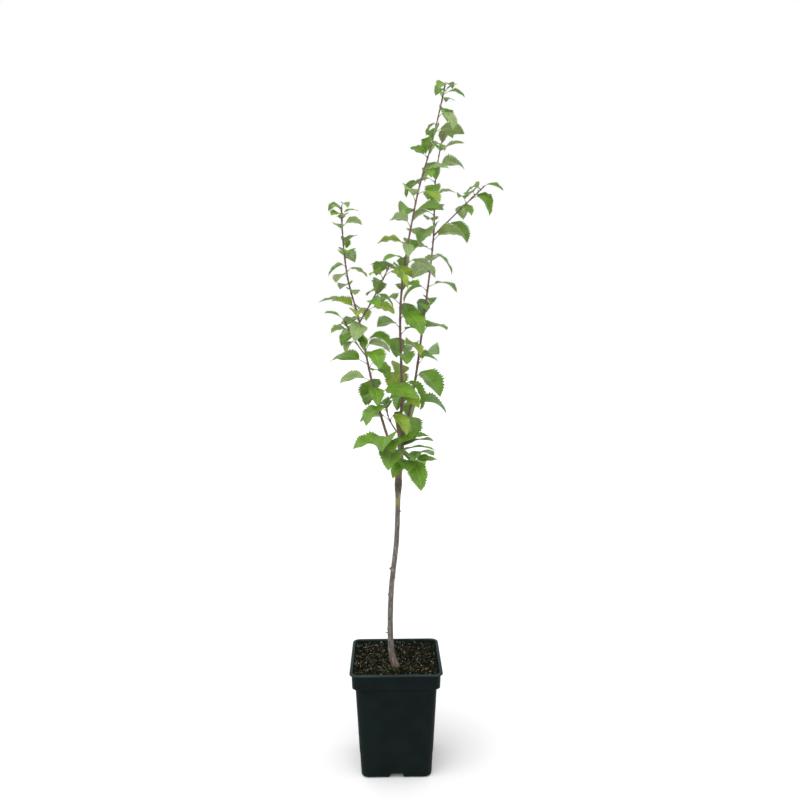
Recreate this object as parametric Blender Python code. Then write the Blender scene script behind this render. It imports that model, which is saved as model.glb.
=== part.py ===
"""A young opal plum tree in a square nursery pot, about 1.15 m tall.

Metres, +Z up. The origin is the centre of the pot's flat underside, and -Y is the front.
Each limb is a smooth curve through a few named places. Each mass of foliage is one stem with
its leaves, which grow by a seeded rule: they stand round the stem a fixed turn apart, and a
leaf that would touch a limb or another leaf is drawn again, then skipped.
"""

import math
import random

import bmesh
import bpy
import numpy as np
from mathutils import Matrix

OBJECT_NAME = "potted_opal_plum_tree"
GAP = 0.0003

# Pot
RIM_WIDTH = 0.1535
POT_HEIGHT = 0.184
BASE_WIDTH = 0.1175
BODY_TOP_WIDTH = 0.1345
COLLAR_BOTTOM_WIDTH = 0.1452
COLLAR_TOP_WIDTH = 0.147
COLLAR_HEIGHT = 0.0262
CHAMFER_HEIGHT = 0.0045
LIP_HEIGHT = 0.0028
STEP_HEIGHT = 0.042
STEP_DEPTH = 0.0004
WALL = 0.0018
FLOOR = 0.0024
CORNER_RADIUS = 0.0125
BASE_ROUNDING = 0.004
CORNER_STEPS = 5
NOTCH_WIDTH = 0.0285
NOTCH_TOP_WIDTH = 0.019
NOTCH_HEIGHT = 0.0078
NOTCH_DEPTH = 0.017
DRAIN_RADIUS = 0.003
DRAIN_SIDES = 10

# Potting mix
MIX_BELOW_RIM = 0.0022
MIX_TOP = POT_HEIGHT - MIX_BELOW_RIM

# Trunk
TRUNK_PLACES = (
    (0.002, -0.034, 0.176),
    (-0.008, -0.031, 0.211),
    (-0.0075, -0.024, 0.305),
    (0.002, -0.017, 0.393),
    (0.006, -0.013, 0.502),
    (0.010, -0.010, 0.556),
    (0.004, -0.008, 0.601),
)
TRUNK_FOOT_RADIUS = 0.0047
TRUNK_TOP_RADIUS = 0.0038
ROOT_FLARE = 0.0024
ROOT_FLARE_HEIGHT = 0.016
GRAFT_HEIGHT = 0.482
GRAFT_LENGTH = 0.016
GRAFT_SWELLING = 0.0011
SCION_STEP = 0.0014
KNOB_RADIUS = 0.0021
KNOBS = (
    (0.243, 200.0),
    (0.300, 165.0),
    (0.328, 20.0),
    (0.345, 185.0),
    (0.470, 250.0),
    (0.531, 330.0),
)
TRUNK_STATIONS = 44
TRUNK_SIDES_STEP = 3

# Limbs: the places that each runs through, its radius at the foot and at the tip, and the
# share of it that is a bare bough before its mass of foliage begins
LIMB_TAPER = 0.7
LIMBS = {
    "left": {
        "places": (
            (0.005, -0.013, 0.521),
            (-0.014, -0.022, 0.573),
            (-0.038, -0.036, 0.664),
            (-0.056, -0.046, 0.756),
            (-0.075, -0.054, 0.832),
            (-0.082, -0.060, 0.936),
        ),
        "radii": (0.0027, 0.0009),
        "bare": 0.24,
    },
    "side_shoot": {
        "places": ((-0.0455, -0.0404, 0.701), (-0.066, -0.056, 0.731), (-0.079, -0.072, 0.759)),
        "radii": (0.0011, 0.0007),
    },
    "inner_fork": {
        "places": ((-0.056, -0.046, 0.756), (-0.029, -0.050, 0.802), (-0.007, -0.056, 0.847)),
        "radii": (0.0015, 0.0008),
    },
    "centre": {
        "places": (
            (0.007, -0.008, 0.587),
            (0.012, -0.006, 0.627),
            (0.011, -0.004, 0.793),
            (0.036, -0.002, 0.952),
            (0.064, 0.002, 1.053),
            (0.085, 0.006, 1.143),
        ),
        "radii": (0.0027, 0.0009),
        "bare": 0.045,
    },
    "right": {
        "places": (
            (0.009, -0.010, 0.556),
            (0.028, 0.004, 0.621),
            (0.053, 0.030, 0.783),
            (0.068, 0.046, 0.902),
            (0.072, 0.056, 1.000),
            (0.088, 0.064, 1.084),
        ),
        "radii": (0.0027, 0.0009),
        "bare": 0.045,
    },
    "right_side": {
        "places": ((0.068, 0.046, 0.904), (0.104, 0.030, 0.938), (0.152, 0.012, 0.982)),
        "radii": (0.0014, 0.0008),
    },
    "inner": {
        "places": ((0.0065, -0.0105, 0.571), (-0.009, -0.022, 0.597), (-0.015, -0.034, 0.623)),
        "radii": (0.0014, 0.0008),
    },
    "low_right": {
        "places": ((0.007, -0.016, 0.518), (0.023, -0.026, 0.520), (0.038, -0.036, 0.525)),
        "radii": (0.0014, 0.0010),
    },
    "low_left": {
        "places": ((0.006, -0.016, 0.515), (-0.002, -0.036, 0.535), (-0.011, -0.055, 0.557)),
        "radii": (0.0014, 0.0010),
    },
}

# Leaves: the span of each limb that bears them, their length at its foot and at its tip, and
# one seed for each flush of growth. A limb that ends in a tuft has tip seeds as well. The fill
# seeds then set a few later leaves in the gaps that are left along the same span.
LEAFING = {
    "low_right": {
        "span": (0.30, 1.0),
        "lengths": (0.048, 0.046),
        "seeds": (20014, 2666, 2703),
        "fill_seeds": (51392,),
    },
    "low_left": {
        "span": (0.35, 1.0),
        "lengths": (0.060, 0.056),
        "seeds": (2685, 4053),
        "fill_seeds": (51196, 51131),
    },
    "inner": {
        "span": (0.40, 1.0),
        "lengths": (0.040, 0.036),
        "seeds": (30781,),
        "fill_seeds": (52391, 51230),
    },
    "left": {
        "span": (0.26, 0.94),
        "lengths": (0.055, 0.033),
        "seeds": (30835, 30740, 3021, 1016, 4691, 366, 30492),
        "tip_length": 0.024,
        "tip_seeds": (30685, 30721),
        "fill_seeds": (51045, 50337, 51920, 52358),
    },
    "side_shoot": {
        "span": (0.35, 1.0),
        "lengths": (0.030, 0.026),
        "seeds": (3562, 4081),
        "fill_seeds": (52042,),
    },
    "inner_fork": {
        "span": (0.08, 1.0),
        "lengths": (0.038, 0.034),
        "seeds": (3661, 2944, 30329),
        "fill_seeds": (50731,),
    },
    "centre": {
        "span": (0.05, 0.94),
        "lengths": (0.054, 0.036),
        "seeds": (30413, 30483, 30029, 30032, 2900, 4390, 20024, 2218, 966),
        "tip_length": 0.027,
        "tip_seeds": (1536, 30832),
        "fill_seeds": (51476, 50961, 50280, 52143, 51444, 51471),
    },
    "right": {
        "span": (0.05, 0.93),
        "lengths": (0.060, 0.038),
        "seeds": (30344, 3976, 30192, 3346, 30246, 2864, 30223, 214),
        "tip_length": 0.030,
        "tip_seeds": (2818,),
        "fill_seeds": (51956, 51521, 50768, 52037, 50040),
    },
    "right_side": {
        "span": (0.08, 1.0),
        "lengths": (0.044, 0.034),
        "seeds": (30848, 30831, 2640),
        "fill_seeds": (51225, 51291),
    },
}
MASSES = {
    "low_right_foliage": ("low_right",),
    "low_left_foliage": ("low_left",),
    "inner_foliage": ("inner",),
    "left_foliage": ("left", "side_shoot", "inner_fork"),
    "centre_foliage": ("centre",),
    "right_foliage": ("right", "right_side"),
}
BOUGHS = {"left_bough": "left", "centre_bough": "centre", "right_bough": "right"}

LEAVES_IN_FLUSH = 4
LEAVES_IN_FILL = 2
LEAF_TURN = math.radians(140.0)
DRAWS = 6
HEADING_PLAY = 40.0
SWING_PLAY = 28.0
PETIOLE_RISE = (22.0, 60.0)
BLADE_LIFT = (-28.0, 34.0)
BLADE_DROOP = (35.0, 88.0)
ROLL_PLAY = 32.0
LENGTH_PLAY = (0.76, 1.2)
BLADE_BREADTH = 0.66
FOLD = math.radians(20.0)
PETIOLE_SHARE = 0.30
PETIOLE_RADIUS = 0.0007
BLADE_THICKNESS = 0.026
BLADE_STATIONS = (0.16, 0.40, 0.66, 0.88)

TEST_STATIONS = 13
TEST_COLUMNS = 9
PATH_POINTS = 61
LIMB_TEST_POINTS = 121
LIMB_CLEARANCE = 0.0025
LIMB_LOOK = 0.012
OWN_CLEARANCE = 0.0032
OTHER_CLEARANCE = 0.0055
STEM_POINTS = 21
BOUGH_POINTS = 9

UP = np.array((0.0, 0.0, 1.0))

COLOURS = {
    "pot": ((0.012, 0.020, 0.018), 0.38),
    "potting_mix": ((0.045, 0.030, 0.020), 0.95),
    "bark": ((0.160, 0.125, 0.100), 0.80),
    "young_bark": ((0.130, 0.065, 0.055), 0.60),
    "leaf": ((0.110, 0.240, 0.045), 0.50),
}


def clear_scene():
    for obj in list(bpy.data.objects):
        bpy.data.objects.remove(obj, do_unlink=True)


def new_collection(name):
    collection = bpy.data.collections.new(name)
    bpy.context.scene.collection.children.link(collection)
    return collection


def plain_material(name):
    colour, roughness = COLOURS[name]
    material = bpy.data.materials.new(name)
    material.use_nodes = True
    shader = material.node_tree.nodes["Principled BSDF"]
    shader.inputs["Base Color"].default_value = (*colour, 1.0)
    shader.inputs["Roughness"].default_value = roughness
    shader.inputs["Metallic"].default_value = 0.0
    return material


def object_from(bm, name, collection):
    """The bmesh as a new object, with its faces pointing outwards."""
    bmesh.ops.recalc_face_normals(bm, faces=bm.faces)
    mesh = bpy.data.meshes.new(name)
    bm.to_mesh(mesh)
    bm.free()
    obj = bpy.data.objects.new(name, mesh)
    collection.objects.link(obj)
    return obj


def make_cutter(obj):
    obj.hide_render = True
    obj.display_type = "WIRE"
    return obj


def add_boolean(obj, operation, cutter):
    """Cuts or joins obj with an object, or with every object of a collection."""
    boolean = obj.modifiers.new(operation.lower(), "BOOLEAN")
    boolean.operation = operation
    boolean.solver = "EXACT"
    if isinstance(cutter, bpy.types.Collection):
        boolean.operand_type = "COLLECTION"
        boolean.collection = cutter
    else:
        boolean.object = cutter
    return boolean


def evaluated_copy(obj, name, collection):
    """A mesh object with obj's evaluated shape, in place of obj."""
    graph = bpy.context.evaluated_depsgraph_get()
    mesh = bpy.data.meshes.new_from_object(obj.evaluated_get(graph))
    bm = bmesh.new()
    bm.from_mesh(mesh)
    bmesh.ops.remove_doubles(bm, verts=bm.verts, dist=0.000001)
    bmesh.ops.recalc_face_normals(bm, faces=bm.faces)
    bm.to_mesh(mesh)
    bm.free()
    copy = bpy.data.objects.new(name, mesh)
    copy.matrix_world = obj.matrix_world
    collection.objects.link(copy)
    bpy.data.objects.remove(obj, do_unlink=True)
    copy.name = name
    return copy


def tube(name, points, radii, half_rings, collection):
    """A closed tube along the points, with its own radius at each one."""
    curve = bpy.data.curves.new(name, "CURVE")
    curve.dimensions = "3D"
    curve.bevel_depth = 1.0
    curve.bevel_resolution = half_rings
    curve.use_fill_caps = True
    spline = curve.splines.new("POLY")
    spline.points.add(len(points) - 1)
    for knot, place, radius in zip(spline.points, points, radii):
        knot.co = (*place, 1.0)
        knot.radius = radius
    obj = bpy.data.objects.new(name, curve)
    collection.objects.link(obj)
    bpy.context.view_layer.update()
    return evaluated_copy(obj, name, collection)


# The pot and its potting mix


def rounded_square(half, corner):
    """The points of a square with round corners, starting beside the +X +Y corner."""
    points = []
    for quarter in range(4):
        middle = math.radians(45.0 + 90.0 * quarter)
        centre_x = math.copysign(half - corner, math.cos(middle))
        centre_y = math.copysign(half - corner, math.sin(middle))
        for step in range(CORNER_STEPS + 1):
            angle = math.radians(90.0 * (quarter + step / CORNER_STEPS))
            points.append((centre_x + corner * math.cos(angle), centre_y + corner * math.sin(angle)))
    return points


def square_loft(name, rings, collection):
    """A closed solid through rounded squares, each given as half width, height and corner."""
    bm = bmesh.new()
    loops = []
    for half, height, corner in rings:
        verts = [bm.verts.new((x, y, height)) for x, y in rounded_square(half, corner)]
        loops.append([bm.edges.new(pair) for pair in zip(verts, verts[1:] + verts[:1])])
    for lower, upper in zip(loops, loops[1:]):
        bmesh.ops.bridge_loops(bm, edges=lower + upper)
    bmesh.ops.contextual_create(bm, geom=loops[0])
    bmesh.ops.contextual_create(bm, geom=loops[-1])
    return object_from(bm, name, collection)


BODY_TOP = POT_HEIGHT - COLLAR_HEIGHT - CHAMFER_HEIGHT
COLLAR_BOTTOM = POT_HEIGHT - COLLAR_HEIGHT


def body_half_width(height):
    lean = (BODY_TOP_WIDTH / 2 - STEP_DEPTH - BASE_WIDTH / 2) / BODY_TOP
    return BASE_WIDTH / 2 + lean * height


def collar_half_width(height):
    lean = (COLLAR_TOP_WIDTH - COLLAR_BOTTOM_WIDTH) / 2 / (COLLAR_HEIGHT - LIP_HEIGHT)
    return COLLAR_BOTTOM_WIDTH / 2 + lean * (height - COLLAR_BOTTOM)


def outer_rings():
    rings = []
    for step in range(4):
        angle = math.radians(30.0 * step)
        inset = BASE_ROUNDING * (1 - math.sin(angle))
        height = BASE_ROUNDING * (1 - math.cos(angle))
        rings.append((body_half_width(height) - inset, height, CORNER_RADIUS - inset))
    under_lip = POT_HEIGHT - LIP_HEIGHT
    edge = LIP_HEIGHT / 4
    step_half = body_half_width(STEP_HEIGHT)
    rings += [
        (step_half, STEP_HEIGHT, CORNER_RADIUS),
        (step_half + STEP_DEPTH, STEP_HEIGHT + STEP_DEPTH, CORNER_RADIUS),
        (BODY_TOP_WIDTH / 2, BODY_TOP, CORNER_RADIUS),
        (COLLAR_BOTTOM_WIDTH / 2, COLLAR_BOTTOM, CORNER_RADIUS),
        (COLLAR_TOP_WIDTH / 2, under_lip, CORNER_RADIUS),
        (RIM_WIDTH / 2 - edge, under_lip, CORNER_RADIUS),
        (RIM_WIDTH / 2, under_lip + edge, CORNER_RADIUS),
        (RIM_WIDTH / 2, POT_HEIGHT - edge, CORNER_RADIUS),
        (RIM_WIDTH / 2 - edge, POT_HEIGHT, CORNER_RADIUS),
    ]
    return rings


def hollow_rings(inset, bottom, top):
    """The pot's inside, drawn in from the outer surface by inset."""
    corner = CORNER_RADIUS - inset
    return [
        (body_half_width(bottom) - inset, bottom, corner),
        (BODY_TOP_WIDTH / 2 - inset, BODY_TOP, corner),
        (COLLAR_BOTTOM_WIDTH / 2 - inset, COLLAR_BOTTOM, corner),
        (collar_half_width(top) - inset, top, corner),
    ]


def notch_block(name, grow, turn, collection):
    """The space of one drain notch at the foot of a side, made larger all round by grow."""
    bm = bmesh.new()
    bmesh.ops.create_cube(bm, size=1.0)
    outside = -BASE_WIDTH / 2 - WALL * 2
    inside = -BASE_WIDTH / 2 + NOTCH_DEPTH + grow
    below = -WALL
    for vert in bm.verts:
        is_top = vert.co.z > 0
        width = NOTCH_TOP_WIDTH if is_top else NOTCH_WIDTH
        vert.co.x = math.copysign(width / 2 + grow, vert.co.x)
        vert.co.y = outside if vert.co.y < 0 else inside
        vert.co.z = NOTCH_HEIGHT + grow if is_top else below
    bmesh.ops.rotate(bm, verts=bm.verts, matrix=Matrix.Rotation(math.radians(turn), 3, "Z"))
    return object_from(bm, name, collection)


def drain_cutter(name, turn, collection):
    bm = bmesh.new()
    sizes = {"radius1": DRAIN_RADIUS, "radius2": DRAIN_RADIUS, "depth": WALL * 4}
    bmesh.ops.create_cone(bm, cap_ends=True, segments=DRAIN_SIDES, **sizes)
    middle = (0.0, -BASE_WIDTH / 2 + NOTCH_DEPTH - 2 * DRAIN_RADIUS, NOTCH_HEIGHT + WALL / 2)
    bmesh.ops.translate(bm, verts=bm.verts, vec=middle)
    bmesh.ops.rotate(bm, verts=bm.verts, matrix=Matrix.Rotation(math.radians(turn), 3, "Z"))
    return object_from(bm, name, collection)


def hollow_solid(name, inset, bottom, top, collection, scratch):
    """The inside of the pot as a solid, with the four notches' roofs left out of it."""
    solid = square_loft(name, hollow_rings(inset, bottom, top), scratch)
    for side in range(4):
        block = notch_block(f"{name}_notch_{side}", inset, 90.0 * side, scratch)
        add_boolean(solid, "DIFFERENCE", block)
    solid = evaluated_copy(solid, name, collection)
    for obj in list(scratch.objects):
        bpy.data.objects.remove(obj, do_unlink=True)
    return solid


def make_pot(parts, cutters, scratch):
    hollow = make_cutter(hollow_solid("pot_hollow", WALL, FLOOR, POT_HEIGHT + WALL, cutters, scratch))
    pot = square_loft("pot", outer_rings(), parts)
    add_boolean(pot, "DIFFERENCE", hollow)
    for side in range(4):
        turn = 90.0 * side
        notch = make_cutter(notch_block(f"notch_{side}", 0.0, turn, cutters))
        drain = make_cutter(drain_cutter(f"drain_{side}", turn, cutters))
        add_boolean(pot, "DIFFERENCE", notch)
        add_boolean(pot, "DIFFERENCE", drain)
    return pot


def make_potting_mix(parts, scratch):
    return hollow_solid("potting_mix", WALL + GAP, FLOOR + GAP, MIX_TOP, parts, scratch)


# The trunk and the limbs


def smooth_path(places, count):
    """Evenly spaced points on a smooth curve through the places."""
    knots = np.array(places, float)
    gaps = np.linalg.norm(np.diff(knots, axis=0), axis=1)
    reach = np.concatenate(([0.0], np.cumsum(gaps)))
    slopes = np.empty_like(knots)
    slopes[1:-1] = (knots[2:] - knots[:-2]) / (reach[2:] - reach[:-2])[:, None]
    slopes[0] = 2 * (knots[1] - knots[0]) / gaps[0] - slopes[1]
    slopes[-1] = 2 * (knots[-1] - knots[-2]) / gaps[-1] - slopes[-2]
    points = []
    for at in np.linspace(0.0, reach[-1], count):
        k = min(int(np.searchsorted(reach, at, side="right")) - 1, len(gaps) - 1)
        x = (at - reach[k]) / gaps[k]
        points.append(
            (1 + 2 * x) * (1 - x) ** 2 * knots[k]
            + x * (1 - x) ** 2 * gaps[k] * slopes[k]
            + x * x * (3 - 2 * x) * knots[k + 1]
            + x * x * (x - 1) * gaps[k] * slopes[k + 1]
        )
    return np.array(points)


def point_on(path, share):
    at = share * (len(path) - 1)
    k = min(int(at), len(path) - 2)
    return path[k] + (path[k + 1] - path[k]) * (at - k)


def stretch(name, start, end, count):
    """Points and radii of the limb between two shares of its length."""
    path = smooth_path(LIMBS[name]["places"], PATH_POINTS)
    foot_radius, tip_radius = LIMBS[name]["radii"]
    shares = np.linspace(start, end, count)
    points = [point_on(path, share) for share in shares]
    return points, foot_radius + (tip_radius - foot_radius) * shares**LIMB_TAPER


def trunk_radius(height, share):
    """The trunk's taper, with the flare at its foot, the old graft and the thicker top growth."""
    radius = TRUNK_FOOT_RADIUS + (TRUNK_TOP_RADIUS - TRUNK_FOOT_RADIUS) * share
    radius += ROOT_FLARE * math.exp(-max(0.0, height - MIX_TOP) / ROOT_FLARE_HEIGHT)
    radius += GRAFT_SWELLING * math.exp(-(((height - GRAFT_HEIGHT) / GRAFT_LENGTH) ** 2))
    radius += SCION_STEP / (1 + math.exp((GRAFT_HEIGHT - height) / (GRAFT_LENGTH / 4)))
    return radius


def trunk_tube(name, extra, collection):
    path = smooth_path(TRUNK_PLACES, TRUNK_STATIONS)
    shares = np.linspace(0.0, 1.0, TRUNK_STATIONS)
    radii = [trunk_radius(place[2], share) + extra for place, share in zip(path, shares)]
    return tube(name, path, radii, TRUNK_SIDES_STEP, collection)


def make_knob(number, height, azimuth, collection):
    """A small bud scar half sunk in the trunk's side."""
    path = smooth_path(TRUNK_PLACES, TRUNK_STATIONS)
    nearest = int(np.abs(path[:, 2] - height).argmin())
    share = nearest / (TRUNK_STATIONS - 1)
    angle = math.radians(azimuth)
    out = trunk_radius(height, share)
    middle = path[nearest] + out * np.array((math.cos(angle), math.sin(angle), 0.0))
    bm = bmesh.new()
    bmesh.ops.create_icosphere(bm, subdivisions=1, radius=KNOB_RADIUS)
    bmesh.ops.translate(bm, verts=bm.verts, vec=middle)
    return object_from(bm, f"knob_{number}", collection)


def make_trunk(parts, cutters, scratch):
    trunk = trunk_tube("trunk", 0.0, parts)
    for number, (height, azimuth) in enumerate(KNOBS):
        make_knob(number, height, azimuth, scratch)
    trunk = union_with(trunk, scratch)
    bm = bmesh.new()
    bmesh.ops.create_cube(bm, size=RIM_WIDTH)
    bmesh.ops.translate(bm, verts=bm.verts, vec=(0.0, 0.0, MIX_TOP + GAP - RIM_WIDTH / 2))
    ground = make_cutter(object_from(bm, "ground_level", cutters))
    add_boolean(trunk, "DIFFERENCE", ground)
    return trunk


def make_bough(name, limb, parts, trunk_space):
    points, radii = stretch(limb, 0.0, LIMBS[limb]["bare"], BOUGH_POINTS)
    bough = tube(name, points, radii, 2, parts)
    add_boolean(bough, "DIFFERENCE", trunk_space)
    return bough


# The foliage


def blade_half_width(share):
    """Half the blade's width in lengths of the blade: broad low down, with a drawn-out tip."""
    outline = np.sin(math.pi * share**0.82) ** 0.72
    return 0.5 * BLADE_BREADTH * outline * (1 - 0.22 * share**3)


def leaf_frames(leaf, shares):
    """The petiole's end, then the rib, the cross direction and the upper side at each share."""
    length, lift, droop, roll = leaf["length"], leaf["lift"], leaf["droop"], leaf["roll"]
    out = np.array((math.cos(leaf["heading"]), math.sin(leaf["heading"]), 0.0))
    climb = math.cos(leaf["rise"]) * out + math.sin(leaf["rise"]) * UP
    joint = leaf["foot"] + PETIOLE_SHARE * length * climb
    facing = leaf["heading"] + leaf["swing"]
    out = np.array((math.cos(facing), math.sin(facing), 0.0))
    side = np.array((-math.sin(facing), math.cos(facing), 0.0))
    slope = lift - droop * shares
    run = np.outer(math.sin(lift) - np.sin(slope), out)
    fall = np.outer(np.cos(slope) - math.cos(lift), UP)
    rib = joint + length / droop * (run + fall)
    normal = np.outer(-np.sin(slope), out) + np.outer(np.cos(slope), UP)
    across = math.cos(roll) * side + math.sin(roll) * normal
    above = math.cos(roll) * normal - math.sin(roll) * side
    return joint, rib, across, above


def leaf_test_points(leaf):
    shares = np.linspace(0.0, 1.0, TEST_STATIONS)
    spread = np.linspace(-1.0, 1.0, TEST_COLUMNS)
    joint, rib, across, above = leaf_frames(leaf, shares)
    half = leaf["length"] * blade_half_width(shares)
    sideways = (half[:, None] * spread * math.cos(FOLD))[:, :, None] * across[:, None, :]
    upwards = (half[:, None] * np.abs(spread) * math.sin(FOLD))[:, :, None] * above[:, None, :]
    return (rib[:, None, :] + sideways + upwards).reshape(-1, 3)


def draw_leaf(rng, foot, heading, length):
    return {
        "foot": foot,
        "heading": heading + math.radians(rng.uniform(-HEADING_PLAY, HEADING_PLAY)),
        "swing": math.radians(rng.uniform(-SWING_PLAY, SWING_PLAY)),
        "rise": math.radians(rng.uniform(*PETIOLE_RISE)),
        "lift": math.radians(rng.uniform(*BLADE_LIFT)),
        "droop": math.radians(rng.uniform(*BLADE_DROOP)),
        "roll": math.radians(rng.uniform(-ROLL_PLAY, ROLL_PLAY)),
        "length": length * rng.uniform(*LENGTH_PLAY),
    }


def too_near(points, others, clearance):
    gaps = others[None, :, :3] - points[:, None, :]
    return bool((np.einsum("ijk,ijk->ij", gaps, gaps) < clearance**2).any())


def touches(points, mass, limb_points, placed):
    """Whether a leaf comes too near a limb, or a leaf that is already there."""
    centre = points.mean(axis=0)
    reach = float(np.linalg.norm(points - centre, axis=1).max())
    distance = np.linalg.norm(limb_points[:, :3] - centre, axis=1)
    close = limb_points[distance < reach + LIMB_LOOK]
    if len(close) and too_near(points, close, close[:, 3] + LIMB_CLEARANCE):
        return True
    for other in placed:
        clearance = OWN_CLEARANCE if other["mass"] == mass else OTHER_CLEARANCE
        apart = np.linalg.norm(other["centre"] - centre)
        if apart < other["reach"] + reach + clearance:
            if too_near(points, other["points"], clearance):
                return True
    placed.append({"mass": mass, "centre": centre, "reach": reach, "points": points})
    return False


def grow_flush(path, flush, mass, limb_points, placed):
    """The leaves of one flush of growth, each a fixed turn round the stem from the last."""
    start, end, length, seed, count = flush
    rng = random.Random(seed)
    first_heading = rng.uniform(0, 2 * math.pi)
    leaves = []
    for k in range(count):
        share = start + (end - start) * (k + rng.uniform(0.2, 0.8)) / count
        foot = point_on(path, share)
        for _ in range(DRAWS):
            leaf = draw_leaf(rng, foot, first_heading + k * LEAF_TURN, length)
            if not touches(leaf_test_points(leaf), mass, limb_points, placed):
                leaves.append(leaf)
                break
    return leaves


def spread_flushes(span, lengths, seeds, count):
    """Start, end, leaf length, seed and leaf count of each flush, set end to end in a span."""
    start, end = span
    low, high = lengths
    flushes = []
    for k, seed in enumerate(seeds):
        from_share = start + (end - start) * k / len(seeds)
        to_share = start + (end - start) * (k + 1) / len(seeds)
        length = low + (high - low) * (k + 0.5) / len(seeds)
        flushes.append((from_share, to_share, length, seed, count))
    return flushes


def flushes_of(limb):
    """The flushes along a limb, and those of the tuft at its tip."""
    plan = LEAFING[limb]
    flushes = spread_flushes(plan["span"], plan["lengths"], plan["seeds"], LEAVES_IN_FLUSH)
    if "tip_seeds" in plan:
        tip = (plan["span"][1], 1.0)
        lengths = (plan["tip_length"], plan["tip_length"])
        flushes += spread_flushes(tip, lengths, plan["tip_seeds"], LEAVES_IN_FLUSH)
    return flushes


def fills_of(limb):
    """The later flushes of a limb, which fill the gaps between the first."""
    plan = LEAFING[limb]
    return spread_flushes(plan["span"], plan["lengths"], plan["fill_seeds"], LEAVES_IN_FILL)


def all_limb_points():
    """Points along the trunk and every limb, each with the radius there."""
    path = smooth_path(TRUNK_PLACES, LIMB_TEST_POINTS)
    radii = np.linspace(TRUNK_FOOT_RADIUS, TRUNK_TOP_RADIUS, LIMB_TEST_POINTS)
    rows = [np.column_stack((path, radii))]
    for limb in LIMBS.values():
        path = smooth_path(limb["places"], LIMB_TEST_POINTS)
        rows.append(np.column_stack((path, np.linspace(*limb["radii"], LIMB_TEST_POINTS))))
    return np.concatenate(rows)


def grow_crown():
    """The leaves of each mass. The limbs grow in the order that LEAFING gives, then the fills."""
    limb_points = all_limb_points()
    placed = []
    crown = {mass: [] for mass in MASSES}
    for flushes in (flushes_of, fills_of):
        for limb in LEAFING:
            mass = next(name for name, limbs in MASSES.items() if limb in limbs)
            path = smooth_path(LIMBS[limb]["places"], PATH_POINTS)
            for flush in flushes(limb):
                crown[mass] += grow_flush(path, flush, mass, limb_points, placed)
    return crown


def leaf_sections(leaf):
    """Four-cornered sections of a leaf from the root of its petiole to its last station."""
    shares = np.array(BLADE_STATIONS)
    joint, rib, across, above = leaf_frames(leaf, shares)
    heading, rise = leaf["heading"], leaf["rise"]
    side = np.array((-math.sin(heading), math.cos(heading), 0.0))
    out = np.array((math.cos(heading), math.sin(heading), 0.0))
    top = -math.sin(rise) * out + math.cos(rise) * UP
    middle_side = (side + across[0]) / np.linalg.norm(side + across[0])
    middle_top = (top + above[0]) / np.linalg.norm(top + above[0])
    sections = []
    for place, sideways, upwards in ((leaf["foot"], side, top), (joint, middle_side, middle_top)):
        arm_side = PETIOLE_RADIUS * sideways
        arm_up = PETIOLE_RADIUS * upwards
        sections.append((place - arm_side, place + arm_up, place + arm_side, place - arm_up))
    for k, share in enumerate(shares):
        half = leaf["length"] * blade_half_width(share)
        arm_side = half * math.cos(FOLD) * across[k]
        raised = rib[k] + half * math.sin(FOLD) * above[k]
        thick = 0.5 * BLADE_THICKNESS * leaf["length"] * above[k]
        sections.append((raised - arm_side, rib[k] + thick, raised + arm_side, rib[k] - thick))
    return sections


def make_leaf(name, leaf, collection):
    """A folded blade with its petiole, as one closed skin."""
    tip = leaf_frames(leaf, np.array((1.0,)))[1][0]
    bm = bmesh.new()
    rings = [[bm.verts.new(corner) for corner in section] for section in leaf_sections(leaf)]
    point = bm.verts.new(tip)
    bm.faces.new(rings[0])
    for lower, upper in zip(rings, rings[1:]):
        for k in range(4):
            bm.faces.new((lower[k], lower[(k + 1) % 4], upper[(k + 1) % 4], upper[k]))
    for k in range(4):
        bm.faces.new((rings[-1][k], rings[-1][(k + 1) % 4], point))
    bmesh.ops.triangulate(bm, faces=bm.faces)
    return object_from(bm, name, collection)


def shell_volume(faces):
    volume = 0.0
    for face in faces:
        a, b, c = (vert.co for vert in face.verts)
        volume += a.dot(b.cross(c)) / 6
    return volume


def keep_outer_shell(obj):
    """Fills hollows that fusing has sealed and drops loose scraps: the largest shell stays."""
    bm = bmesh.new()
    bm.from_mesh(obj.data)
    bmesh.ops.triangulate(bm, faces=bm.faces)
    left = set(bm.faces)
    shells = []
    while left:
        shell = []
        waiting = [left.pop()]
        while waiting:
            face = waiting.pop()
            shell.append(face)
            for edge in face.edges:
                for neighbour in edge.link_faces:
                    if neighbour in left:
                        left.remove(neighbour)
                        waiting.append(neighbour)
        shells.append(shell)
    shells.sort(key=shell_volume)
    for shell in shells[:-1]:
        bmesh.ops.delete(bm, geom=shell, context="FACES")
    bm.to_mesh(obj.data)
    bm.free()


def union_with(obj, scratch):
    """Joins every object of the scratch collection to obj, then removes them."""
    name = obj.name
    home = obj.users_collection[0]
    add_boolean(obj, "UNION", scratch)
    bpy.context.view_layer.update()
    joined = evaluated_copy(obj, name, home)
    for piece in list(scratch.objects):
        bpy.data.objects.remove(piece, do_unlink=True)
    keep_outer_shell(joined)
    return joined


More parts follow.
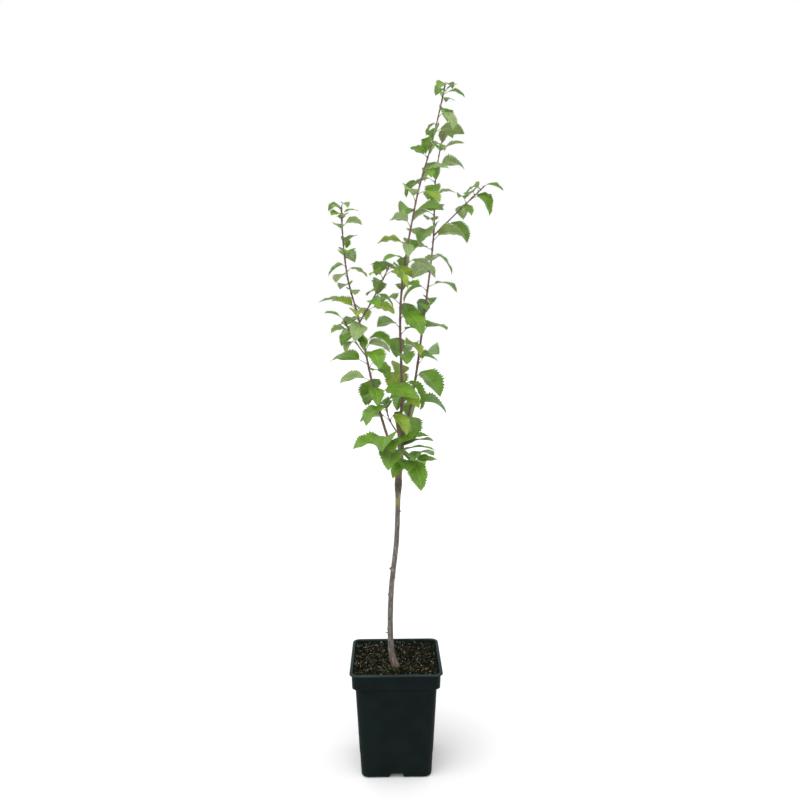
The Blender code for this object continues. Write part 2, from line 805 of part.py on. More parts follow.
def make_mass(name, leaves, parts, trunk_space, scratch):
    """One mass: its stem from just past the bough or the trunk, its side shoots and leaves."""
    limbs = MASSES[name]
    main = limbs[0]
    bare = LIMBS[main].get("bare", 0.0)
    if bare:
        path = smooth_path(LIMBS[main]["places"], PATH_POINTS)
        limb_length = np.linalg.norm(np.diff(path, axis=0), axis=1).sum()
        bare += GAP / limb_length
    points, radii = stretch(main, bare, 1.0, STEM_POINTS)
    stem = tube(name, points, radii, 1, parts)
    if not bare:
        add_boolean(stem, "DIFFERENCE", trunk_space)
        bpy.context.view_layer.update()
        stem = evaluated_copy(stem, name, parts)
        keep_outer_shell(stem)
    for limb in limbs[1:]:
        points, radii = stretch(limb, 0.0, 1.0, STEM_POINTS // 2)
        tube(limb, points, radii, 1, scratch)
    for number, leaf in enumerate(leaves):
        make_leaf(f"{name}_leaf_{number}", leaf, scratch)
    return union_with(stem, scratch)


def build():
    clear_scene()
    parts = new_collection(OBJECT_NAME)
    cutters = new_collection(OBJECT_NAME + "_cutters")
    scratch = new_collection(OBJECT_NAME + "_scratch")
    materials = {name: plain_material(name) for name in COLOURS}
    trunk_space = make_cutter(trunk_tube("trunk_space", GAP, cutters))
    made = [
        (make_pot(parts, cutters, scratch), "pot"),
        (make_potting_mix(parts, scratch), "potting_mix"),
        (make_trunk(parts, cutters, scratch), "bark"),
    ]
    for name, limb in BOUGHS.items():
        made.append((make_bough(name, limb, parts, trunk_space), "young_bark"))
    crown = grow_crown()
    for name in MASSES:
        made.append((make_mass(name, crown[name], parts, trunk_space, scratch), "leaf"))
    for obj, material in made:
        obj.data.materials.append(materials[material])
        obj.data.shade_flat()
    bpy.data.collections.remove(scratch)


build()
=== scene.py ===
"""A young plum tree in a square nursery pot, dressed for rendering.

Metres, +Z up. The origin is the centre of the pot's flat underside, and -Y is the front.
The limbs are smooth curves through a few named places. The leaves grow round them by the same
seeded rule as the solids, and each leaf then gets its teeth, folds, veins and waves here.
"""

import math
import random

import bmesh
import bpy
import numpy as np
from bpy.props import FloatProperty, FloatVectorProperty, IntProperty, PointerProperty
from mathutils import Matrix, Vector, noise


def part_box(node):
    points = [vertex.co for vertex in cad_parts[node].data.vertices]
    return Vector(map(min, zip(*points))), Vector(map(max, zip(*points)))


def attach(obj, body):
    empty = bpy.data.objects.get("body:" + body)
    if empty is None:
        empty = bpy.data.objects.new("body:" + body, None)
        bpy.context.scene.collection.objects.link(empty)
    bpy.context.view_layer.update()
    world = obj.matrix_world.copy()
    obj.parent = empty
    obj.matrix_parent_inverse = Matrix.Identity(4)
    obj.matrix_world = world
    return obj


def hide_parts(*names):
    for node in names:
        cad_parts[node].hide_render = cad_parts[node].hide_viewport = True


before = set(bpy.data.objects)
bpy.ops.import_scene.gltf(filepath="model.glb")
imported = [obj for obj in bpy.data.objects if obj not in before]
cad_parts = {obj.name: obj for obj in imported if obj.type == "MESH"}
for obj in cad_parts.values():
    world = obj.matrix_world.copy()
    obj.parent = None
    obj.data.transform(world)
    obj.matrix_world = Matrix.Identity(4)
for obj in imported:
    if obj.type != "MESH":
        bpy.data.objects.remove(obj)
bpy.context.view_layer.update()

bl_info = {
    "name": "Potted plum tree",
    "version": (1, 0, 0),
    "blender": (4, 5, 0),
    "location": "View3D > Sidebar > Plum tree",
    "description": "Grows a young grafted plum tree in a square nursery pot",
    "category": "Add Mesh",
}

POT_LOW, POT_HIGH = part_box("pot")
RIM_WIDTH = POT_HIGH.x - POT_LOW.x
POT_HEIGHT = POT_HIGH.z
MIX_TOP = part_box("potting_mix")[1].z
GAP = 0.0003

# Pot, as shares and sizes that the sizes above lead to
BASE_WIDTH = 0.1175
BODY_TOP_WIDTH = 0.1345
COLLAR_BOTTOM_WIDTH = 0.1452
COLLAR_TOP_WIDTH = 0.147
COLLAR_HEIGHT = 0.0262
CHAMFER_HEIGHT = 0.0045
LIP_HEIGHT = 0.0028
STEP_HEIGHT = 0.042
STEP_DEPTH = 0.0004
WALL = 0.0018
FLOOR = 0.0024
CORNER_RADIUS = 0.0125
BASE_ROUNDING = 0.004
CORNER_STEPS = 12
SIDE_STEPS = 14
NOTCH_WIDTH = 0.0285
NOTCH_TOP_WIDTH = 0.019
NOTCH_HEIGHT = 0.0078
NOTCH_DEPTH = 0.017
DRAIN_RADIUS = 0.003
BODY_TOP = POT_HEIGHT - COLLAR_HEIGHT - CHAMFER_HEIGHT
COLLAR_BOTTOM = POT_HEIGHT - COLLAR_HEIGHT

# Trunk
TRUNK_PLACES = (
    (0.002, -0.034, 0.176),
    (-0.008, -0.031, 0.211),
    (-0.0075, -0.024, 0.305),
    (0.002, -0.017, 0.393),
    (0.006, -0.013, 0.502),
    (0.010, -0.010, 0.556),
    (0.004, -0.008, 0.601),
)
TRUNK_FOOT_RADIUS = 0.0047
TRUNK_TOP_RADIUS = 0.0038
ROOT_FLARE = 0.0024
ROOT_FLARE_HEIGHT = 0.016
GRAFT_HEIGHT = 0.482
GRAFT_LENGTH = 0.016
GRAFT_SWELLING = 0.0011
SCION_STEP = 0.0014
KNOB_RADIUS = 0.0021
KNOBS = (
    (0.243, 200.0),
    (0.300, 165.0),
    (0.328, 20.0),
    (0.345, 185.0),
    (0.470, 250.0),
    (0.531, 330.0),
)
TRUNK_STATIONS = 44

# Limbs: the places that each runs through, its radius at the foot and at the tip, and the
# share of it that is a bare bough before its mass of foliage begins
LIMB_TAPER = 0.7
LIMBS = {
    "left": {
        "places": (
            (0.005, -0.013, 0.521),
            (-0.014, -0.022, 0.573),
            (-0.038, -0.036, 0.664),
            (-0.056, -0.046, 0.756),
            (-0.075, -0.054, 0.832),
            (-0.082, -0.060, 0.936),
        ),
        "radii": (0.0027, 0.0009),
        "bare": 0.24,
    },
    "side_shoot": {
        "places": ((-0.0455, -0.0404, 0.701), (-0.066, -0.056, 0.731), (-0.079, -0.072, 0.759)),
        "radii": (0.0011, 0.0007),
    },
    "inner_fork": {
        "places": ((-0.056, -0.046, 0.756), (-0.029, -0.050, 0.802), (-0.007, -0.056, 0.847)),
        "radii": (0.0015, 0.0008),
    },
    "centre": {
        "places": (
            (0.007, -0.008, 0.587),
            (0.012, -0.006, 0.627),
            (0.011, -0.004, 0.793),
            (0.036, -0.002, 0.952),
            (0.064, 0.002, 1.053),
            (0.085, 0.006, 1.143),
        ),
        "radii": (0.0027, 0.0009),
        "bare": 0.045,
    },
    "right": {
        "places": (
            (0.009, -0.010, 0.556),
            (0.028, 0.004, 0.621),
            (0.053, 0.030, 0.783),
            (0.068, 0.046, 0.902),
            (0.072, 0.056, 1.000),
            (0.088, 0.064, 1.084),
        ),
        "radii": (0.0027, 0.0009),
        "bare": 0.045,
    },
    "right_side": {
        "places": ((0.068, 0.046, 0.904), (0.104, 0.030, 0.938), (0.152, 0.012, 0.982)),
        "radii": (0.0014, 0.0008),
    },
    "inner": {
        "places": ((0.0065, -0.0105, 0.571), (-0.009, -0.022, 0.597), (-0.015, -0.034, 0.623)),
        "radii": (0.0014, 0.0008),
    },
    "low_right": {
        "places": ((0.007, -0.016, 0.518), (0.023, -0.026, 0.520), (0.038, -0.036, 0.525)),
        "radii": (0.0014, 0.0010),
    },
    "low_left": {
        "places": ((0.006, -0.016, 0.515), (-0.002, -0.036, 0.535), (-0.011, -0.055, 0.557)),
        "radii": (0.0014, 0.0010),
    },
}

# Leaves: the span of each limb that bears them, their length at its foot and at its tip, and
# one seed for each flush of growth. A limb that ends in a tuft has tip seeds as well. The fill
# seeds then set a few later leaves in the gaps that are left along the same span.
LEAFING = {
    "low_right": {
        "span": (0.30, 1.0),
        "lengths": (0.048, 0.046),
        "seeds": (20014, 2666, 2703),
        "fill_seeds": (51392,),
    },
    "low_left": {
        "span": (0.35, 1.0),
        "lengths": (0.060, 0.056),
        "seeds": (2685, 4053),
        "fill_seeds": (51196, 51131),
    },
    "inner": {
        "span": (0.40, 1.0),
        "lengths": (0.040, 0.036),
        "seeds": (30781,),
        "fill_seeds": (52391, 51230),
    },
    "left": {
        "span": (0.26, 0.94),
        "lengths": (0.055, 0.033),
        "seeds": (30835, 30740, 3021, 1016, 4691, 366, 30492),
        "tip_length": 0.024,
        "tip_seeds": (30685, 30721),
        "fill_seeds": (51045, 50337, 51920, 52358),
    },
    "side_shoot": {
        "span": (0.35, 1.0),
        "lengths": (0.030, 0.026),
        "seeds": (3562, 4081),
        "fill_seeds": (52042,),
    },
    "inner_fork": {
        "span": (0.08, 1.0),
        "lengths": (0.038, 0.034),
        "seeds": (3661, 2944, 30329),
        "fill_seeds": (50731,),
    },
    "centre": {
        "span": (0.05, 0.94),
        "lengths": (0.054, 0.036),
        "seeds": (30413, 30483, 30029, 30032, 2900, 4390, 20024, 2218, 966),
        "tip_length": 0.027,
        "tip_seeds": (1536, 30832),
        "fill_seeds": (51476, 50961, 50280, 52143, 51444, 51471),
    },
    "right": {
        "span": (0.05, 0.93),
        "lengths": (0.060, 0.038),
        "seeds": (30344, 3976, 30192, 3346, 30246, 2864, 30223, 214),
        "tip_length": 0.030,
        "tip_seeds": (2818,),
        "fill_seeds": (51956, 51521, 50768, 52037, 50040),
    },
    "right_side": {
        "span": (0.08, 1.0),
        "lengths": (0.044, 0.034),
        "seeds": (30848, 30831, 2640),
        "fill_seeds": (51225, 51291),
    },
}
MASSES = {
    "low_right_foliage": ("low_right",),
    "low_left_foliage": ("low_left",),
    "inner_foliage": ("inner",),
    "left_foliage": ("left", "side_shoot", "inner_fork"),
    "centre_foliage": ("centre",),
    "right_foliage": ("right", "right_side"),
}
BOUGHS = {"left_bough": "left", "centre_bough": "centre", "right_bough": "right"}

LEAVES_IN_FLUSH = 4
LEAVES_IN_FILL = 2
LEAF_TURN = math.radians(140.0)
DRAWS = 6
HEADING_PLAY = 40.0
SWING_PLAY = 28.0
PETIOLE_RISE = (22.0, 60.0)
BLADE_LIFT = (-28.0, 34.0)
BLADE_DROOP = (35.0, 88.0)
ROLL_PLAY = 32.0
LENGTH_PLAY = (0.76, 1.2)
BLADE_BREADTH = 0.66
FOLD = math.radians(20.0)
PETIOLE_SHARE = 0.30
PETIOLE_RADIUS = 0.0007

TEST_STATIONS = 13
TEST_COLUMNS = 9
PATH_POINTS = 61
LIMB_TEST_POINTS = 121
LIMB_CLEARANCE = 0.0025
LIMB_LOOK = 0.012
OWN_CLEARANCE = 0.0032
OTHER_CLEARANCE = 0.0055

UP = np.array((0.0, 0.0, 1.0))

MOSS_PATCHES = (
    (-0.004, -0.048, 0.0045, 90),
    (-0.020, -0.046, 0.0050, 60),
    (0.022, -0.044, 0.0070, 60),
    (-0.030, 0.010, 0.0120, 60),
    (0.035, 0.020, 0.0140, 60),
    (-0.045, -0.020, 0.0100, 50),
)
SCRAPS = ((0.052, -0.048, 0.0034), (0.049, -0.050, 0.0024), (0.055, -0.045, 0.0020), (-0.040, -0.055, 0.0022))
STUBS = (
    (0.343, 175.0, 0.0013, 0.0034),
    (0.236, 180.0, 0.0008, 0.0052),
    (0.441, 15.0, 0.0012, 0.0022),
    (0.520, 205.0, 0.0014, 0.0026),
    (0.556, 120.0, 0.0016, 0.0024),
)
SPURS = (
    ("left", 0.66, 215.0, 0.0110, 0.0006),
    ("right", 0.35, 20.0, 0.0030, 0.0011),
    ("right", 0.64, 190.0, 0.0030, 0.0011),
    ("right", 0.73, 80.0, 0.0080, 0.0008),
)
CAMERA_PLACE = (-0.0107, -1.2616, 0.7319)
CAMERA_TURN = (0.894, 4.753, -0.221)
WORLD_STRENGTH = 0.84
SUNS = (
    ("key_light", 1.5, 75.0, (40.0, 0.0, -38.0)),
    ("fill_light", 0.3, 90.0, (62.0, 0.0, 48.0)),
)

# Fine leaves
BLADE_ROWS = 46
TOOTH_PROFILE = np.array((-1.0, 0.2, 1.0))
BLADE_COLUMNS = np.array((-1.0, -0.82, -0.56, -0.28, -0.06, 0.0, 0.06, 0.28, 0.56, 0.82, 1.0))
BLADE_FIRST = 0.0006
BLADE_LAST = 0.9992
BASE_NARROWING = 0.30
TIP_NARROWING = 0.50
LATERAL_VEINS = 8
VEIN_SWEEP = 0.17
STALK_RADIUS = 0.00055
STALK_ROWS = 8
STALK_SIDES = 7

# Bark
BARK_VOXEL = 0.00046
SNAG_TOP = (0.0030, -0.0078, 0.608)
LIMB_IN_BARK = {"left": 0.262, "centre": 0.075, "right": 0.075}
COLLAR_LENGTH = 0.013

# How each tint of leaf is dealt out: the limb, the span of it, and the weights of the tints
# The pale tint is partly painted light: it stands in for sheen and light through the leaves, and partly for soft
# young leaves.
TINTS = ("bright", "mature", "olive", "yellow_green", "blue_green", "pale")
TINT_WEIGHTS = (
    ("low", 0.0, 1.0, (6, 4, 0, 0, 0, 0)),
    ("left", 0.0, 0.55, (5, 4, 0, 1, 1, 1)),
    ("left", 0.55, 1.0, (1, 3, 4, 1, 0, 3)),
    ("side_shoot", 0.0, 1.0, (2, 4, 2, 0, 1, 1)),
    ("inner", 0.0, 1.0, (3, 5, 1, 2, 1, 1)),
    ("centre", 0.0, 0.45, (4, 5, 0, 2, 1, 1)),
    ("centre", 0.45, 1.0, (2, 5, 3, 1, 0, 3)),
    ("right", 0.0, 0.5, (4, 5, 0, 1, 1, 1)),
    ("right", 0.5, 1.0, (2, 5, 3, 1, 0, 3)),
)


class PlumTreeSettings(bpy.types.PropertyGroup):
    """Sizes and colours of the tree and its pot."""

    wall_bow: FloatProperty(
        name="Wall bow",
        description="How far the pot's sides bulge at their middle",
        default=0.0007,
        unit="LENGTH",
    )
    crumb_count: IntProperty(
        name="Crumbs", description="Loose crumbs on top of the potting mix", default=3200, min=0
    )
    bark_relief: FloatProperty(
        name="Bark relief",
        description="Height of the ridges and pores of the bark",
        default=0.00022,
        unit="LENGTH",
    )
    tooth_depth: FloatProperty(
        name="Tooth depth", description="Depth of the leaf teeth, as a share of half the width", default=0.125
    )
    leaf_wave: FloatProperty(
        name="Leaf wave", description="Wave of the leaf's margin, as a share of its length", default=0.020
    )
    pot_colour: FloatVectorProperty(
        name="Pot", description="Colour of the pot", subtype="COLOR", default=(0.0030, 0.0068, 0.0068)
    )
    mix_colour: FloatVectorProperty(
        name="Potting mix", description="Colour of the mix", subtype="COLOR", default=(0.0060, 0.0060, 0.0032)
    )
    moss_colour: FloatVectorProperty(
        name="Moss", description="Colour of the moss", subtype="COLOR", default=(0.055, 0.075, 0.018)
    )
    bark_colour: FloatVectorProperty(
        name="Bark", description="Colour of the old bark", subtype="COLOR", default=(0.135, 0.124, 0.104)
    )
    shoot_colour: FloatVectorProperty(
        name="Young bark", description="Colour of the shoots", subtype="COLOR", default=(0.165, 0.088, 0.078)
    )
    bright_colour: FloatVectorProperty(
        name="Bright leaves", description="Large low leaves", subtype="COLOR", default=(0.125, 0.262, 0.016)
    )
    mature_colour: FloatVectorProperty(
        name="Mature leaves", description="Most of the crown", subtype="COLOR", default=(0.130, 0.250, 0.032)
    )
    olive_colour: FloatVectorProperty(
        name="Olive leaves", description="Young leaves near the tips", subtype="COLOR", default=(0.185, 0.262, 0.070)
    )
    yellow_green_colour: FloatVectorProperty(
        name="Yellow-green leaves", description="A few leaves", subtype="COLOR", default=(0.235, 0.340, 0.032)
    )
    blue_green_colour: FloatVectorProperty(
        name="Blue-green leaves", description="A few leaves", subtype="COLOR", default=(0.100, 0.215, 0.044)
    )
    # Painted sheen in part: this tint lightens leaves where sheen and light through the blade would show, as well as
    # soft young leaves.
    pale_colour: FloatVectorProperty(
        name="Pale leaves", description="Soft young leaves", subtype="COLOR", default=(0.235, 0.330, 0.115)
    )
    underside_colour: FloatVectorProperty(
        name="Undersides", description="Underside of each leaf", subtype="COLOR", default=(0.290, 0.410, 0.180)
    )


def piece_collection():
    """The collection that holds the finished pieces."""
    name = "plum_tree_pieces"
    if name not in bpy.data.collections:
        bpy.context.scene.collection.children.link(bpy.data.collections.new(name))
    return bpy.data.collections[name]


def object_from(bm, name):
    """The bmesh as a new object with its faces pointing outwards."""
    bmesh.ops.recalc_face_normals(bm, faces=bm.faces)
    mesh = bpy.data.meshes.new(name)
    bm.to_mesh(mesh)
    bm.free()
    obj = bpy.data.objects.new(name, mesh)
    piece_collection().objects.link(obj)
    return obj


def apply_modifiers(obj):
    """Gives obj its evaluated mesh and drops its modifiers."""
    bpy.context.view_layer.update()
    graph = bpy.context.evaluated_depsgraph_get()
    mesh = bpy.data.meshes.new_from_object(obj.evaluated_get(graph))
    old = obj.data
    obj.modifiers.clear()
    obj.data = mesh
    mesh.name = obj.name
    bpy.data.meshes.remove(old)


def remove(objects):
    for obj in objects:
        bpy.data.objects.remove(obj, do_unlink=True)


def smooth_shade(obj, angle):
    obj.data.shade_smooth()
    obj.data.set_sharp_from_angle(angle=math.radians(angle))


def finish_piece(obj, materials, nodes=()):
    """Dresses a piece, fixes it to the plant's one body and hides the solids it stands for."""
    obj.data.materials.clear()
    for material in materials:
        obj.data.materials.append(material)
    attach(obj, "root")
    if nodes:
        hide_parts(*nodes)
    return obj


# Joined meshes


def joined_object(name, parts):
    """One object from many small meshes, each with points, faces and perhaps uv and slots."""
    points = []
    faces = []
    slots = []
    uv = []
    start = 0
    for part in parts:
        points.append(part["points"])
        faces.extend((part["faces"] + start).tolist() if isinstance(part["faces"], np.ndarray) else
                     [[corner + start for corner in face] for face in part["faces"]])
        slots.append(part.get("slots", np.zeros(len(part["faces"]), int)))
        if "uv" in part:
            uv.append(part["uv"])
        start += len(part["points"])
    mesh = bpy.data.meshes.new(name)
    mesh.from_pydata(np.concatenate(points).tolist(), [], faces)
    mesh.polygons.foreach_set("material_index", np.concatenate(slots).astype(np.int32))
    if uv:
        corners = np.empty(len(mesh.loops), np.int32)
        mesh.loops.foreach_get("vertex_index", corners)
        layer = mesh.uv_layers.new(name="blade")
        layer.uv.foreach_set("vector", np.concatenate(uv)[corners].astype(np.float32).ravel())
    mesh.update()
    mesh.validate()
    obj = bpy.data.objects.new(name, mesh)
    piece_collection().objects.link(obj)
    return obj


def along_path(points):
    """Two directions square to the path at each point, carried along it without a twist."""
    steps = np.gradient(points, axis=0)
    steps /= np.linalg.norm(steps, axis=1)[:, None]
    start = np.cross(steps[0], (0.0, 1.0, 0.0))
    if np.linalg.norm(start) < 0.1:
        start = np.cross(steps[0], (1.0, 0.0, 0.0))
    first = np.empty_like(points)
    second = np.empty_like(points)
    for k, step in enumerate(steps):
        start = start - step * np.dot(start, step)
        start /= np.linalg.norm(start)
        first[k] = start
        second[k] = np.cross(step, start)
    return first, second


def tube_part(points, radii, sides):
    """A closed round tube through the points."""
    points = np.asarray(points, float)
    radii = np.asarray(radii, float)
    first, second = along_path(points)
    angles = np.linspace(0.0, 2 * math.pi, sides, endpoint=False)
    ring = np.cos(angles)[None, :, None] * first[:, None, :] + np.sin(angles)[None, :, None] * second[:, None, :]
    skin = points[:, None, :] + radii[:, None, None] * ring
    rows = len(points)
    faces = []
    for row in range(rows - 1):
        for k in range(sides):
            a = row * sides + k
            b = row * sides + (k + 1) % sides
            faces.append((a, b, b + sides, a + sides))
    faces.append(tuple(range(sides))[::-1])
    faces.append(tuple(range((rows - 1) * sides, rows * sides)))
    return {"points": skin.reshape(-1, 3), "faces": faces}


def spindle_part(foot, tip, radius, sides, rows):
    """A small bud: a closed drop shape from foot to tip."""
    shares = np.linspace(0.0, 1.0, rows)
    points = np.array(foot) + (np.array(tip) - np.array(foot)) * shares[:, None]
    radii = radius * (0.25 + np.sin(math.pi * shares**0.7) * 0.85) * (1.0 - 0.2 * shares)
    return tube_part(points, radii, sides)


# Materials


def group_with(name, inputs, outputs):
    """A new shader node group with its sockets, and its input and output nodes."""
    group = bpy.data.node_groups.new(name, "ShaderNodeTree")
    for socket, default in inputs:
        kind = "NodeSocketVector" if default is None else "NodeSocketFloat"
        made = group.interface.new_socket(name=socket, in_out="INPUT", socket_type=kind)
        if default is not None:
            made.default_value = default
    for socket in outputs:
        group.interface.new_socket(name=socket, in_out="OUTPUT", socket_type="NodeSocketFloat")
    return group, group.nodes.new("NodeGroupInput"), group.nodes.new("NodeGroupOutput")


def maths(tree, operation, first, second=None, clamp=False):
    """A Math node with its inputs set or linked, and its output."""
    node = tree.nodes.new("ShaderNodeMath")
    node.operation = operation
    node.use_clamp = clamp
    for socket, value in zip(node.inputs, (first, second)):
        if value is None:
            continue
        if isinstance(value, (int, float)):
            socket.default_value = value
        else:
            tree.links.new(value, socket)
    return node.outputs[0]


def ranged(tree, value, low, high, to_low=0.0, to_high=1.0):
    """The value spread from one range to another, smoothly."""
    node = tree.nodes.new("ShaderNodeMapRange")
    node.interpolation_type = "SMOOTHSTEP"
    tree.links.new(value, node.inputs["Value"])
    node.inputs["From Min"].default_value = low
    node.inputs["From Max"].default_value = high
    node.inputs["To Min"].default_value = to_low
    node.inputs["To Max"].default_value = to_high
    return node.outputs["Result"]


def between(tree, value, rise, full, still_full, gone):
    """A mask that rises to 1 and falls again along a value."""
    up = ranged(tree, value, rise, full)
    return maths(tree, "MULTIPLY", up, ranged(tree, value, still_full, gone, 1.0, 0.0))


def stretched(tree, vector, scale):
    node = tree.nodes.new("ShaderNodeMapping")
    tree.links.new(vector, node.inputs["Vector"])
    node.inputs["Scale"].default_value = scale
    return node.outputs["Vector"]


def noise_at(tree, vector, scale, detail=3.0, roughness=0.55):
    node = tree.nodes.new("ShaderNodeTexNoise")
    tree.links.new(vector, node.inputs["Vector"])
    node.inputs["Scale"].default_value = scale
    node.inputs["Detail"].default_value = detail
    node.inputs["Roughness"].default_value = roughness
    return node.outputs["Fac"]


def object_coordinates(tree):
    return tree.nodes.new("ShaderNodeTexCoord").outputs["Object"]


def mixed(tree, share, first, second):
    """A colour between two, each a plain colour or a socket."""
    node = tree.nodes.new("ShaderNodeMix")
    node.data_type = "RGBA"
    tree.links.new(share, node.inputs[0])
    for socket, value in ((node.inputs[6], first), (node.inputs[7], second)):
        if isinstance(value, bpy.types.NodeSocket):
            tree.links.new(value, socket)
        else:
            socket.default_value = (*value, 1.0)
    return node.outputs[2]


def blend(first, second, share):
    """The colour a share of the way from the first to the second."""
    return tuple(a + (b - a) * share for a, b in zip(first, second))


def scaled(colour, factor):
    return tuple(min(1.0, channel * factor) for channel in colour)


def new_material(name, roughness, specular=0.5):
    """A new material, its node tree and its shader."""
    material = bpy.data.materials.new(name)
    material.use_nodes = True
    tree = material.node_tree
    shader = tree.nodes["Principled BSDF"]
    shader.inputs["Roughness"].default_value = roughness
    shader.inputs["Specular IOR Level"].default_value = specular
    return material, tree, shader


def bump_into(tree, shader, height, strength, distance):
    node = tree.nodes.new("ShaderNodeBump")
    node.inputs["Strength"].default_value = strength
    node.inputs["Distance"].default_value = distance
    tree.links.new(height, node.inputs["Height"])
    tree.links.new(node.outputs["Normal"], shader.inputs["Normal"])


def mottle_group():
    """Large and fine patches from one noise field, used by every finish."""
    if "mottle" in bpy.data.node_groups:
        return bpy.data.node_groups["mottle"]
    group, inside, outside = group_with(
        "mottle", (("Vector", None), ("Patch scale", 60.0), ("Grain scale", 900.0)), ("Patches", "Grain")
    )
    patches = group.nodes.new("ShaderNodeTexNoise")
    patches.inputs["Detail"].default_value = 3.0
    grain = group.nodes.new("ShaderNodeTexNoise")
    grain.inputs["Detail"].default_value = 2.0
    for node, scale in ((patches, "Patch scale"), (grain, "Grain scale")):
        group.links.new(inside.outputs["Vector"], node.inputs["Vector"])
        group.links.new(inside.outputs[scale], node.inputs["Scale"])
    group.links.new(ranged(group, patches.outputs["Fac"], 0.35, 0.65), outside.inputs["Patches"])
    group.links.new(ranged(group, grain.outputs["Fac"], 0.3, 0.7), outside.inputs["Grain"])
    return group


def mottle(tree, vector, patch_scale, grain_scale):
    node = tree.nodes.new("ShaderNodeGroup")
    node.node_tree = mottle_group()
    tree.links.new(vector, node.inputs["Vector"])
    node.inputs["Patch scale"].default_value = patch_scale
    node.inputs["Grain scale"].default_value = grain_scale
    return node.outputs["Patches"], node.outputs["Grain"]


def vein_group():
    """The midrib and side veins of a blade, from its own map: u across and v along."""
    if "leaf_veins" in bpy.data.node_groups:
        return bpy.data.node_groups["leaf_veins"]
    group, inside, outside = group_with("leaf_veins", (("Vector", None),), ("Midrib", "Veins", "Net"))
    apart = group.nodes.new("ShaderNodeSeparateXYZ")
    group.links.new(inside.outputs["Vector"], apart.inputs[0])
    doubled = maths(group, "MULTIPLY", apart.outputs["X"], 2.0)
    across = maths(group, "ABSOLUTE", maths(group, "SUBTRACT", doubled, 1.0))
    swept = maths(group, "MULTIPLY", across, -VEIN_SWEEP)
    phase = maths(group, "MULTIPLY", maths(group, "ADD", apart.outputs["Y"], swept), float(LATERAL_VEINS))
    off_vein = maths(group, "PINGPONG", phase, 0.5)
    group.links.new(ranged(group, across, 0.015, 0.06, 1.0, 0.0), outside.inputs["Midrib"])
    group.links.new(ranged(group, off_vein, 0.02, 0.10, 1.0, 0.0), outside.inputs["Veins"])
    cells = group.nodes.new("ShaderNodeTexVoronoi")
    cells.feature = "DISTANCE_TO_EDGE"
    cells.inputs["Scale"].default_value = 1.0
    group.links.new(stretched(group, inside.outputs["Vector"], (22.0, 34.0, 1.0)), cells.inputs["Vector"])
    group.links.new(ranged(group, cells.outputs["Distance"], 0.02, 0.16, 1.0, 0.0), outside.inputs["Net"])
    return group


def leaf_material(name, colour, under):
    """One side of a leaf: veins, fine net and soft patches in one tint."""
    material, tree, shader = new_material(name, 0.62 if under else 0.44, 0.35 if under else 0.45)
    veins = tree.nodes.new("ShaderNodeGroup")
    veins.node_tree = vein_group()
    tree.links.new(tree.nodes.new("ShaderNodeTexCoord").outputs["UV"], veins.inputs["Vector"])
    patches, grain = mottle(tree, object_coordinates(tree), 70.0, 1400.0)
    vein_colour = scaled(colour, 1.25 if under else 1.55)
    base = mixed(tree, patches, scaled(colour, 0.80), scaled(colour, 1.16))
    net = maths(tree, "MULTIPLY", veins.outputs["Net"], 0.30)
    base = mixed(tree, net, base, scaled(colour, 1.30))
    side = maths(tree, "MULTIPLY", veins.outputs["Veins"], 0.45)
    base = mixed(tree, side, base, vein_colour)
    rib = maths(tree, "MULTIPLY", veins.outputs["Midrib"], 0.75)
    tree.links.new(mixed(tree, rib, base, scaled(vein_colour, 1.2)), shader.inputs["Base Color"])
    height = maths(tree, "ADD", veins.outputs["Veins"], maths(tree, "MULTIPLY", veins.outputs["Net"], 0.4))
    height = maths(tree, "MULTIPLY", height, 1.0 if under else -1.0)
    bump_into(tree, shader, maths(tree, "ADD", height, maths(tree, "MULTIPLY", grain, 0.4)), 0.5, 0.0002)
    rough = 0.66 if under else 0.40
    tree.links.new(ranged(tree, grain, 0.0, 1.0, rough, rough + 0.12), shader.inputs["Roughness"])
    return material


def pot_material(colour):
    """Moulded plastic: faint flow patches, a fine grain, dust low down, and a painted highlight along the lip."""
    material, tree, shader = new_material("pot_plastic", 0.40, 0.062)
    place = object_coordinates(tree)
    patches, grain = mottle(tree, place, 28.0, 2600.0)
    base = mixed(tree, patches, scaled(colour, 0.85), scaled(colour, 1.2))
    apart = tree.nodes.new("ShaderNodeSeparateXYZ")
    tree.links.new(place, apart.inputs[0])
    low = ranged(tree, apart.outputs["Z"], 0.0, 0.09, 1.0, 0.0)
    specks = ranged(tree, noise_at(tree, place, 420.0, 4.0, 0.7), 0.56, 0.74)
    dust = maths(tree, "MULTIPLY", maths(tree, "MULTIPLY", low, specks), 0.20)
    base = mixed(tree, dust, base, (0.045, 0.050, 0.042))
    # Painted highlight: the top of the lip is lightened in place of the light its rounded edge reflects.
    lip = ranged(tree, apart.outputs["Z"], POT_HEIGHT - 1.5 * LIP_HEIGHT, POT_HEIGHT - 0.4 * LIP_HEIGHT)
    lip_highlight = maths(tree, "MULTIPLY", lip, ranged(tree, patches, 0.0, 1.0, 0.55, 1.0))
    base = mixed(tree, lip_highlight, base, (0.020, 0.042, 0.042))
    tree.links.new(base, shader.inputs["Base Color"])
    tree.links.new(ranged(tree, patches, 0.0, 1.0, 0.36, 0.48), shader.inputs["Roughness"])
    bump_into(tree, shader, grain, 0.12, 0.0001)
    return material


def earth_material(name, colour, spread, grain_scale):
    """Crumbs and mix: broken colour with a rough damp surface."""
    material, tree, shader = new_material(name, 0.9, 0.06)
    patches, grain = mottle(tree, object_coordinates(tree), 260.0, grain_scale)
    base = mixed(tree, patches, scaled(colour, 1 - spread), scaled(colour, 1 + spread * 2.2))
    base = mixed(tree, maths(tree, "MULTIPLY", grain, 0.5), base, scaled(colour, 0.4))
    tree.links.new(base, shader.inputs["Base Color"])
    tree.links.new(ranged(tree, patches, 0.0, 1.0, 0.65, 0.95), shader.inputs["Roughness"])
    bump_into(tree, shader, grain, 0.6, 0.0006)
    return material


